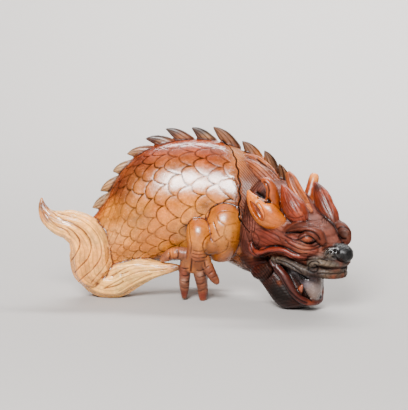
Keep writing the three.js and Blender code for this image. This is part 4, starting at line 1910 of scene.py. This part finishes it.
class Figure:
    """The carved stone."""

    def __init__(self, placement: Placement, camera: PhotoCamera) -> None:
        """Draws the figure.

        Args:
            placement: How the drawing lies in the frame.
            camera: The photograph's camera.
        """
        self.placement = placement
        self.camera = camera
        self.drawing = Drawing()

    def skin(self) -> Skin:
        """The drawn forms joined into one skin, the mouth and the ears hollowed.

        Returns:
            The skin.
        """
        block = Smith.remeshed(Smith.object_of("block", self.drawing.head_block), VOXEL)
        block = Smith.cut(block, Smith.object_of("mouth", [self.drawing.mouth]))
        whole = Smith.joined(block, Smith.object_of("forms", self.drawing.solids))
        whole = Smith.remeshed(whole, VOXEL)
        for hollow in self.drawing.hollows:
            whole = Smith.cut(whole, Smith.object_of("hollow", [hollow]))
        skin = Skin.read(whole).relaxed(3)
        Smith.drop(whole)
        return skin

    def build(self) -> bpy.types.Object:
        """The figure as one object of the scene.

        Returns:
            The object.
        """
        skin = self.skin()
        LOG.info("skin: %d points, %d triangles", len(skin.points), len(skin.faces))
        drawing = self.drawing
        marks = Marks(skin.points, [*drawing.solids, *drawing.head_block, drawing.mouth, *drawing.hollows])
        carver = Carver(skin, self.camera, drawing.head)
        for stroke in strokes():
            carver.lay(stroke)
        height = carver.groove + carver.ridge
        texture = Texture(skin, marks, drawing.head)
        height += texture.height
        dark = np.maximum(carver.dark, texture.dark)
        painter = Painter(skin, marks, carver)
        painter.wash(texture)
        for blot in BLOTS:
            painter.blot(blot)
        painter.soften(skin.faces, 8)
        carved = skin.points + skin.normals() * height[:, None]
        # Painted shade in the hollows of the carved skin.
        painter.paint_hollow_shade(Skin(carved, skin.faces))
        fields = {"line": dark, "comb": texture.comb, "hair": texture.hair, "dull": texture.dull}
        return self.finished(carved, skin.faces, painter.colour, fields)

    def finished(
        self, points: np.ndarray, faces: np.ndarray, colour: np.ndarray, fields: dict[str, np.ndarray]
    ) -> bpy.types.Object:
        """The carved skin thinned to its triangle budget and set in its place.

        Args:
            points: The carved points.
            faces: The triangles.
            colour: The stain at each point, with painted shade and painted highlights.
            fields: Other values at each point, by name.

        Returns:
            The object.
        """
        made = Smith.from_arrays("carved_stone", self.placement.place(points), faces)
        mesh = made.data
        # The stain attribute holds the stone's stains together with painted shade and painted highlights.
        stain = mesh.attributes.new("stain", "FLOAT_COLOR", "POINT")
        colours = np.column_stack([colour, np.ones(len(colour))]).astype(np.float32)
        stain.data.foreach_set("color", colours.ravel())
        for name, values in fields.items():
            mesh.attributes.new(name, "FLOAT", "POINT").data.foreach_set("value", values.astype(np.float32))
        modifier = made.modifiers.new("thin", "DECIMATE")
        modifier.ratio = min(1.0, MOST_TRIANGLES / len(faces))
        Smith.applied(made)
        made.data.shade_smooth()
        made.data.materials.clear()
        made.data.materials.append(JadeFinish().material())
        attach(made, "root")
        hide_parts(NODE)
        LOG.info("carved_stone: %d triangles", len(made.data.polygons))
        return made


BLOTS: tuple[Blot, ...] = (
    Blot("back", (150, 160), 20, "#6e2408", 0.6, Twin.BODY),
    Blot("back_middle", (185, 152), 20, "#802e0a", 0.6, Twin.BODY),
    Blot("back_front", (215, 160), 16, "#782808", 0.65, Twin.BODY),
    Blot("rear_ridge", (122, 187), 13, "#4a1c12", 0.9, Twin.BODY),
    Blot("rear_ridge_high", (140, 168), 12, "#4a1c12", 0.7, Twin.BODY),
    # Painted shade, in these four: under the belly, behind the elbow knob and above the shoulder.
    Blot("belly_shade", (178, 240), 9, "#6a3420", 0.6, Twin.BODY),
    Blot("belly_shade_low", (160, 258), 9, "#8c5638", 0.55, Twin.BODY),
    Blot("behind_knob", (186, 228), 5, "#401d12", 0.7, Twin.BODY),
    Blot("shoulder_shade", (206, 206), 5, "#3a1e12", 0.7, Twin.BODY),
    Blot("throat", (246, 246), 7, "#3a1712", 0.8, Twin.BODY),
    Blot("throat_low", (256, 266), 8, "#3a120b", 0.8, Twin.HEAD),
    Blot("neck_amber", (262, 157), 8, "#a45a20", 0.6, Twin.BODY),
    # Painted shade in the hollow under the horn arch.
    Blot("horn_hollow", (261, 195), 5.5, "#180804", 0.95, Twin.HEAD),
    Blot("ear_root", (250, 212), 6, "#2a0e07", 0.7, Twin.HEAD),
    Blot("ear_hollow", (259.5, 210), 3.4, "#5c2006", 0.9, Twin.HEAD),
    Blot("cheek", (266, 238), 8, "#5c2012", 0.8, Twin.HEAD),
    Blot("under_eye", (302, 248), 6, "#8a4c30", 0.65, Twin.HEAD),
    Blot("forehead", (327, 221), 9, "#5c3a30", 0.7),
    Blot("eye", (307.5, 239), 3.6, "#6a2c0c", 0.95, Twin.HEAD),
    Blot("far_brow", (344, 234), 6, "#2c1c18", 0.85),
    Blot("muzzle", (324, 264), 9, "#4e4946", 0.9, Twin.HEAD),
    Blot("muzzle_front", (344, 268), 8, "#3e3a38", 0.85),
    Blot("nose", (343, 253), 8, "#080707", 0.95),
    Blot("mouth_dark", (302, 276), 6, "#160a07", 1.0, Twin.HEAD),
    Blot("mouth_dark_front", (314, 274.5), 6.5, "#1c0e0a", 0.95),
    Blot("gum", (333, 278), 2.6, "#6c3420", 0.8),
    Blot("gum_front", (343, 276.5), 2.4, "#683422", 0.7),
    Blot("jaw", (280, 294), 13, "#14100f", 0.95, Twin.HEAD),
    Blot("jaw_nub", (279.6, 282.6), 2.2, "#6c3824", 0.9, Twin.HEAD),
    Blot("far_lip", (322, 291), 3.5, "#6a3020", 0.8),
    Blot("lip_end", (311, 303), 4, "#66301e", 0.6),
    Blot("far_horn_tip", (315, 176), 5, "#d08a44", 0.8),
    Blot("far_flame_tip", (318, 187), 4.5, "#1c0e0b", 0.85),
    # Painted shade on the side of the far flame.
    Blot("far_flame_side", (323, 204), 6, "#42190f", 0.6),
    # Painted highlight on the lower bump of each brow flame.
    Blot("flame_painted_highlight", (300, 212), 3.2, "#8c4226", 0.6, Twin.HEAD),
    Blot("crest_tip", (290, 176), 4, "#5c200c", 0.6),
    Blot("knob", (197, 222), 6, "#9e4c04", 0.85, Twin.LEG),
    Blot("flank_russet", (150, 190), 22, "#9c5016", 0.5, Twin.BODY),
    Blot("flank_brown", (128, 206), 15, "#93501e", 0.45, Twin.BODY),
    Blot("flank_pale", (110, 236), 13, "#d09a58", 0.5, Twin.BODY),
    Blot("belly_violet", (188, 252), 10, "#6a3424", 0.7, Twin.BODY),
    Blot("belly_brown", (140, 262), 12, "#a8703e", 0.4, Twin.BODY),
    Blot("hand", (198, 264), 8, "#5a2610", 0.75, Twin.LEG),
    Blot("toe_inner", (184, 272), 8, "#5e2616", 0.7, Twin.LEG),
    Blot("toe_outer", (213, 272), 7, "#6c3420", 0.6),
    Blot("arm_edge", (212, 250), 6, "#6a360c", 0.6, Twin.LEG),
    Blot("arm_low", (232, 246), 6, "#8a4f1a", 0.5, Twin.LEG),
    Blot("arm", (224, 228), 9, "#b2702a", 0.8, Twin.LEG),
    Blot("shoulder", (221, 208), 5, "#8a4010", 0.7, Twin.LEG),
    Blot("wrist", (199, 256), 5, "#8c4622", 0.7, Twin.LEG),
    Blot("back_toe", (172, 253), 5, "#ae5c12", 0.75, Twin.LEG),
    Blot("toe_inner_tip", (184, 294), 4, "#5c1806", 0.85, Twin.LEG),
    Blot("toe_middle_tip", (203, 296), 4, "#661e08", 0.85, Twin.LEG),
    # Painted highlights on two knuckles of each foreleg.
    Blot("painted_highlight_on_knuckle", (184, 281), 2.2, "#c2907a", 0.6, Twin.LEG),
    Blot("painted_highlight_on_knuckle_2", (200, 275), 2.4, "#c2907a", 0.6, Twin.LEG),
    Blot("tail_tip", (43, 205), 6, "#421510", 0.9, Twin.TAIL),
    Blot("tail_tip_edge", (46, 216), 6, "#7a3a22", 0.7, Twin.TAIL),
    Blot("lobe_tip", (176, 266), 6, "#562418", 0.85, Twin.TAIL),
    Blot("lobe_tip_rear", (165, 267), 7, "#985c38", 0.6, Twin.TAIL),
)


# Fans of strokes: [name, how many, points of the first line, points of the last line]
FANS: tuple[tuple[str, int, tuple[Pixel, ...], tuple[Pixel, ...]], ...] = (
    (
        "brow_hair",
        5,
        ((286, 231), (294, 228.6), (303, 227), (313, 226.4), (321, 228)),
        ((291, 226), (300, 222.6), (309, 220.6), (317, 221), (323, 223.6)),
    ),
    (
        "jaw_hair",
        7,
        ((246, 268), (254, 275), (262, 283), (270, 291), (278, 299)),
        ((264, 264), (270, 273), (276, 283), (283, 293), (292, 302)),
    ),
    (
        "crest",
        4,
        ((288.8, 173), (292, 183), (298, 193), (307, 204)),
        ((292, 176), (297, 185), (303, 194), (310, 204)),
    ),
    (
        "neck_locks",
        5,
        ((262, 147), (268, 156), (274, 166), (281, 178)),
        ((275, 155), (279, 163), (283, 172), (286, 180)),
    ),
    (
        "nape",
        6,
        ((241, 206), (243, 220), (247, 236), (252, 250)),
        ((255, 222), (254, 232), (252, 243), (254, 252)),
    ),
    (
        "flame_streak",
        4,
        ((283, 192), (284, 203), (289, 213)),
        ((288, 190), (296, 202), (302, 212)),
    ),
    (
        "far_flame_streak",
        3,
        ((317, 190), (322, 201), (328, 213)),
        ((323, 191), (329, 202), (333, 214)),
    ),
    (
        "wrist",
        4,
        ((192, 250), (199, 251.5), (207, 250)),
        ((191, 260), (199, 262), (208, 259.5)),
    ),
)


def strokes() -> list[Stroke]:
    """Every carved line.

    Returns:
        The strokes.
    """
    head, arm, neck, tail = Twin.HEAD, Twin.LEG, Twin.BODY, Twin.TAIL
    made = [
        Stroke("crack", (
            (222, 140), (226, 144), (229.5, 146.5), (232.5, 150.5), (233.6, 155), (236.4, 160),
            (236, 165.5), (238.6, 171), (238, 177), (240.2, 184), (239, 191), (240.4, 198), (238.4, 205),
            (239.6, 212), (239, 217.5), (241.5, 222), (245, 227.5), (250, 233),
        ), 0.36, -0.6, 2.2),
        Stroke("crack_branch", ((232, 177), (236, 181.5), (239, 189)), 0.36, -0.35, 0.8),
        Stroke("ridge_foot", (
            (88, 214), (98, 205.5), (108, 192), (117, 177), (128, 164), (143, 152), (160, 145),
            (180, 140), (200, 138.5), (215, 140.5),
        ), 0.6, -0.3, 0.35, neck),
        Stroke("tail_fold", ((111, 262), (107, 271), (100, 280), (92.6, 287)), 0.7, -0.25, 0.35, tail),
        Stroke("tail_groove_1", (
            (47, 207), (54, 213.5), (62, 219.5), (72, 223.5), (82, 229.5), (89, 238), (91.4, 247),
            (88, 258), (79, 268), (74, 273),
        ), 0.42, -0.45, 0.49, tail),
        Stroke("tail_groove_2", (
            (50, 208.6), (60, 213.5), (71, 216.4), (84, 221.5), (95, 231.5), (100.6, 243), (101, 256),
            (94, 268), (84, 277), (79, 281),
        ), 0.42, -0.34, 0.35, tail),
        Stroke("tail_groove_3", (
            (66, 227), (73, 231.5), (79, 239.5), (79.4, 247), (74, 256.5), (70.6, 261),
        ), 0.42, -0.45, 0.56, tail),
        Stroke("tail_groove_4", (
            (44, 212), (50, 220), (58, 226.5), (66, 230.5), (71, 236.5),
        ), 0.42, -0.26, 0.35, tail),
        Stroke("tail_groove_5", (
            (108, 247), (109, 257), (105, 266), (98, 275), (91, 283),
        ), 0.42, -0.26, 0.28, tail),
        Stroke("tail_tip_line", (
            (41.5, 203), (41.5, 209), (44.5, 216), (49, 223),
        ), 0.42, -0.22, 0.35, tail),
        Stroke("lobe_line_1", (
            (112, 277), (122, 270), (134, 265.4), (147, 264.6), (160, 266.8), (172, 266),
        ), 0.42, -0.26, 0.28, tail),
        Stroke("lobe_line_2", (
            (104, 289), (114, 283), (126, 276.5), (140, 271.6), (155, 270.5), (168, 269),
        ), 0.42, -0.30, 0.35, tail),
        Stroke("lobe_line_3", (
            (118, 292), (130, 284.5), (142, 277.5), (153, 273.6),
        ), 0.42, -0.22, 0.24, tail),
        # Eye, brow and cheek
        Stroke("eye_lid", (
            (298.5, 238.8), (302, 235.6), (307, 234.2), (312.3, 235.6), (316.6, 239.8),
        ), 0.6, 0.5, 0.0, head),
        Stroke("eye_upper", (
            (299.3, 239.4), (302.9, 237), (307.1, 236), (312, 237.4), (315.6, 240.4),
        ), 0.42, -0.6, 0.95, head),
        Stroke("eye_lower", (
            (299.3, 239.8), (302.9, 242.1), (308.6, 243.4), (313.4, 242.4), (316, 240.4),
        ), 0.42, -0.5, 0.9, head),
        Stroke("eye_corner", (
            (284.5, 234.4), (289, 237.6), (294, 239.4), (299.3, 239.6),
        ), 0.5, -0.7, 0.95, head),
        Stroke("brow_line", (
            (285, 233.4), (293.5, 232.2), (300.5, 232.4), (306.4, 231), (312.9, 232.2), (318, 236.2),
            (320.4, 241),
        ), 0.5, -0.6, 0.9, head),
        Stroke("lid_fold", (
            (290, 235.2), (297, 235.6), (303, 233.4), (309, 232.9), (315, 235.2),
        ), 0.6, 0.35, 0.0, head),
        Stroke("under_eye_1", (
            (291.4, 240.4), (298.6, 243.4), (305.7, 245.8), (312.9, 246.2), (320, 244),
        ), 0.45, -0.45, 0.65, head),
        Stroke("under_eye_2", (
            (284.3, 239.6), (290, 244.6), (298, 248.6), (306, 250.4), (314.3, 249), (321.4, 245.7),
        ), 0.55, -0.55, 0.6, head),
        Stroke("under_eye_roll", ((288, 241.5), (296, 246), (304, 248), (312, 248)), 0.9, 0.35, 0.0, head),
        Stroke("cord_upper", (
            (251, 238), (253, 244), (257, 249), (262.5, 249.4), (269, 246.6), (277, 245.8),
            (285.5, 247.4), (293, 251.2), (300.5, 254.2), (308, 254),
        ), 0.5, -0.55, 0.8, head),
        Stroke("cord_lower", (
            (249.4, 243), (251.3, 249.7), (255.5, 254.8), (262, 256.4), (269.5, 253.6), (277, 252.2),
            (285, 253.6), (292, 257.4), (299.5, 260.4), (306, 260.4),
        ), 0.5, -0.55, 0.8, head),
        Stroke("cord", (
            (251, 241), (253, 248), (257, 252), (262, 252.8), (269, 250), (277, 248.9), (285.5, 250.4),
            (293, 254.2), (300, 257.2), (307.5, 257.2),
        ), 1.0, 0.5, 0.0, head),
        Stroke("wrinkle_1", (
            (267.9, 255.3), (267.4, 259.5), (269.4, 264.3), (273.5, 268.6),
        ), 0.5, -0.45, 0.65, head),
        Stroke("wrinkle_2", (
            (271.4, 254.8), (270.8, 259.5), (273, 264), (276, 266.5),
        ), 0.5, -0.45, 0.65, head),
        Stroke("wrinkle_3", ((275.5, 255), (274.5, 259.5), (277, 262.6)), 0.5, -0.4, 0.6, head),
        Stroke("cheek_line_1", ((252, 231), (257, 235), (259, 241), (257, 246)), 0.5, -0.3, 0.4, head),
        Stroke("cheek_line_2", ((262, 229), (270, 232), (277, 236), (281, 241)), 0.5, -0.3, 0.35, head),
        # Lips and muzzle
        Stroke("lip_inner", (
            (280, 262.9), (287.1, 271.4), (292.9, 281.4), (297.1, 290), (302.9, 295.7), (308.6, 298.6),
            (312.9, 301.4),
        ), 0.6, -0.6, 0.95, head),
        Stroke("lip_outer", (
            (272.9, 266.7), (280, 275.3), (285, 283.9), (290.4, 292.4), (299, 299.6), (308, 303.6),
        ), 0.6, -0.5, 0.85, head),
        Stroke("lip_upper", (
            (276, 259.5), (284, 262), (292, 266), (299, 271), (305, 276.5), (309, 279),
        ), 0.6, -0.6, 0.9, head),
        Stroke("muzzle_fold", (
            (303, 261.6), (309, 259.4), (315, 258.6), (322, 258.8), (328, 260.6),
        ), 0.55, -0.5, 0.7, head),
        Stroke("muzzle_curl", (
            (320, 263.8), (315.5, 260.9), (310, 262.4), (307.8, 267), (310.2, 271.4), (315, 272),
            (317.8, 268.8), (316.2, 265.4), (313, 265.8),
        ), 0.45, -0.6, 0.85, head),
        Stroke("muzzle_roll", (
            (318.6, 263.4), (324, 264.6), (330, 265.9), (337.1, 265.7), (343, 264.9), (348.6, 264.3),
        ), 0.8, 0.5, 0.0, head),
        Stroke("muzzle_line", (
            (319, 267), (326, 268.8), (334, 269.2), (342, 268.2), (350, 266.7),
        ), 0.5, -0.5, 0.7, head),
        Stroke("muzzle_line_low", (
            (316, 274), (323, 273.4), (331, 274), (340, 273.2), (349, 271),
        ), 0.45, -0.35, 0.6, head),
        Stroke("nostril", ((331.2, 256.4), (333.2, 258), (335.6, 257.6)), 0.9, -1.1, 1.0, head),
        Stroke("nose_edge", (
            (336.2, 248.4), (334.8, 253.5), (336.6, 258.4), (341, 261.5), (346, 262),
        ), 0.5, -0.6, 0.8, head),
        Stroke("nose_fold_1", ((322, 251), (326, 248), (331, 246.4), (336, 247)), 0.55, -0.5, 0.7, head),
        Stroke("nose_fold_2", ((325, 255.5), (328.5, 252.4), (332.4, 251.6)), 0.55, -0.5, 0.7, head),
        Stroke("nose_bump", ((324, 252.6), (327.6, 250.2), (331.4, 249.4)), 0.8, 0.5, 0.0, head),
        Stroke("far_brow_line", (
            (337, 230), (340, 227), (345, 227), (349.4, 230), (351, 235),
        ), 0.55, -0.45, 0.7),
        Stroke("far_brow_eye", ((338, 235.4), (342, 238.4), (347, 238.8)), 0.55, -0.55, 0.8),
        Stroke("far_brow_lid", ((338.4, 232.8), (342, 231), (346.4, 231.6), (349, 234.4)), 0.6, 0.4, 0.0),
        Stroke("forehead_line", ((317, 213), (325, 216.6), (332, 222), (337, 229)), 0.55, -0.25, 0.35),
        Stroke("jaw_nub", ((278.8, 281), (280.2, 284)), 1.2, 0.9, 0.0, head),
        Stroke("beard_nub_1", ((247.6, 266), (249.4, 271)), 1.2, 1.0, 0.0),
        Stroke("beard_nub_2", ((250.4, 273.6), (254, 277)), 1.2, 1.0, 0.0),
        Stroke("beard_nub_3", ((257.4, 278.6), (260, 282)), 1.2, 1.0, 0.0),
        # Flame, crest, ear and horn
        Stroke("flame_foot", (
            (281, 189), (279.6, 196), (280, 205), (283, 213), (290, 217.5), (297, 218.4), (304, 216),
        ), 0.6, -0.35, 0.35, head),
        Stroke("ear_hollow_rim", (
            (257, 201), (261, 206.5), (264.5, 214), (263.4, 220.4), (259.6, 216), (256.6, 208.5),
            (257, 201),
        ), 0.45, -0.25, 0.4, head),
        Stroke("horn_hollow_1", (
            (255.5, 191), (260, 194.5), (266, 198.5), (270, 203),
        ), 1.1, -1.1, 1.0, head),
        Stroke("horn_hollow_2", ((257, 197), (262, 199), (268, 203)), 1.0, -0.9, 1.0, head),
        Stroke("horn_inner", (
            (262.5, 181.5), (266.5, 184), (268.8, 190), (268.2, 197), (270.6, 203.5),
        ), 0.6, -0.7, 0.9, head),
        # Neck locks
        Stroke("neck_lock_1", (
            (264, 145.5), (268, 150), (272, 156), (275.5, 163), (278, 168),
        ), 0.6, -0.7, 0.85, neck),
        Stroke("neck_lock_2", ((278, 158.6), (281, 164), (283, 172), (285, 180)), 0.6, -0.7, 0.85, neck),
        Stroke("mane_edge", (
            (256, 158), (262, 163), (268, 167), (275, 173), (283, 182),
        ), 0.7, -0.7, 0.95, neck),
        # Foreleg
        Stroke("shoulder", (
            (208, 218), (210.4, 209.5), (216, 204.6), (223, 203), (231, 204), (238, 206.6),
        ), 0.45, -0.39, 0.59, arm),
        Stroke("elbow_line", (
            (212, 233), (206, 238), (203.4, 243), (203.4, 249), (207.6, 256),
        ), 0.45, -0.33, 0.56, arm),
        Stroke("arm_groove", ((213.5, 221), (216, 229), (219.6, 237)), 0.45, -0.39, 0.59, arm),
        Stroke("knob_edge", (
            (188.8, 222), (189.6, 234), (191.2, 246), (190.2, 254),
        ), 0.45, -0.28, 0.49, arm),
        Stroke("arm_scale_1", ((217, 214), (221, 211.6), (228, 211.4), (236, 213)), 0.38, -0.14, 0.55, arm),
        Stroke("arm_scale_2", ((216.6, 214), (219, 221), (226, 225), (236, 223)), 0.38, -0.14, 0.55, arm),
        Stroke("arm_scale_3", ((226, 225), (224, 234), (229, 241), (238, 242)), 0.38, -0.14, 0.55, arm),
        Stroke("arm_scale_4", ((224, 235), (219, 239), (214, 242)), 0.38, -0.22, 0.5, arm),
        Stroke("arm_scale_5", ((229, 241), (226, 250), (216, 255)), 0.38, -0.22, 0.5, arm),
        Stroke("toe_gap_1", ((191.5, 258), (190.9, 268), (190.4, 278)), 0.6, -0.6, 0.9, arm),
        Stroke("toe_gap_2", ((204.6, 261), (205, 268)), 0.5, -0.5, 0.8, arm),
        Stroke("back_toe_1", ((176.4, 249.6), (178.2, 254.6), (177.4, 259)), 0.6, -0.5, 0.8, arm),
        Stroke("back_toe_2", ((168.5, 251.5), (170, 256), (169, 260)), 0.6, -0.4, 0.6, arm),
        Stroke("toe_3_ring_1", ((204.5, 269), (209.5, 265.5)), 0.42, -0.35, 0.6, arm),
        Stroke("toe_3_ring_2", ((208, 274.5), (213.5, 270.5)), 0.42, -0.35, 0.6, arm),
        Stroke("toe_3_ring_3", ((211.5, 279), (216.4, 275.5)), 0.42, -0.35, 0.6, arm),
    ]
    ring = Stroke("ring", (), 0.42, -0.38, 0.65, arm)
    for number, row in enumerate((268, 275, 281.5, 287.5)):
        pixels = ((181, row - 0.5), (185, row + 1), (189.5, row))
        made.append(replace(ring, name=f"toe_1_{number}", pixels=pixels))
    for number, row in enumerate((269.5, 276, 283, 289.5)):
        pixels = ((196, row + 0.5), (200, row + 1.5), (204.8, row - 0.5))
        made.append(replace(ring, name=f"toe_2_{number}", pixels=pixels))
    hair = Stroke("hair", (), 0.4, -0.28, 0.5, head)
    likes = {
        "brow_hair": hair,
        "jaw_hair": hair,
        "crest": Stroke("crest", (), 0.4, -0.3, 0.6),
        "neck_locks": Stroke("locks", (), 0.4, -0.28, 0.55, neck),
        "nape": Stroke("nape", (), 0.4, -0.3, 0.7, head),
        "flame_streak": Stroke("streak", (), 0.4, -0.2, 0.4, head),
        "far_flame_streak": Stroke("streak", (), 0.4, -0.2, 0.5),
        "wrist": Stroke("wrist", (), 0.38, -0.25, 0.5, arm),
    }
    for name, count, first, last in FANS:
        made += fan(name, first, last, count, likes[name])
    return made


def main() -> None:
    """Builds the scene."""
    logging.basicConfig(level=logging.INFO, format="%(message)s", force=True)
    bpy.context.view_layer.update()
    placement = Placement.from_frame()
    studio = Studio(placement)
    studio.build()
    Figure(placement, studio.camera).build()


if __name__ == "__main__":
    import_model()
    main()
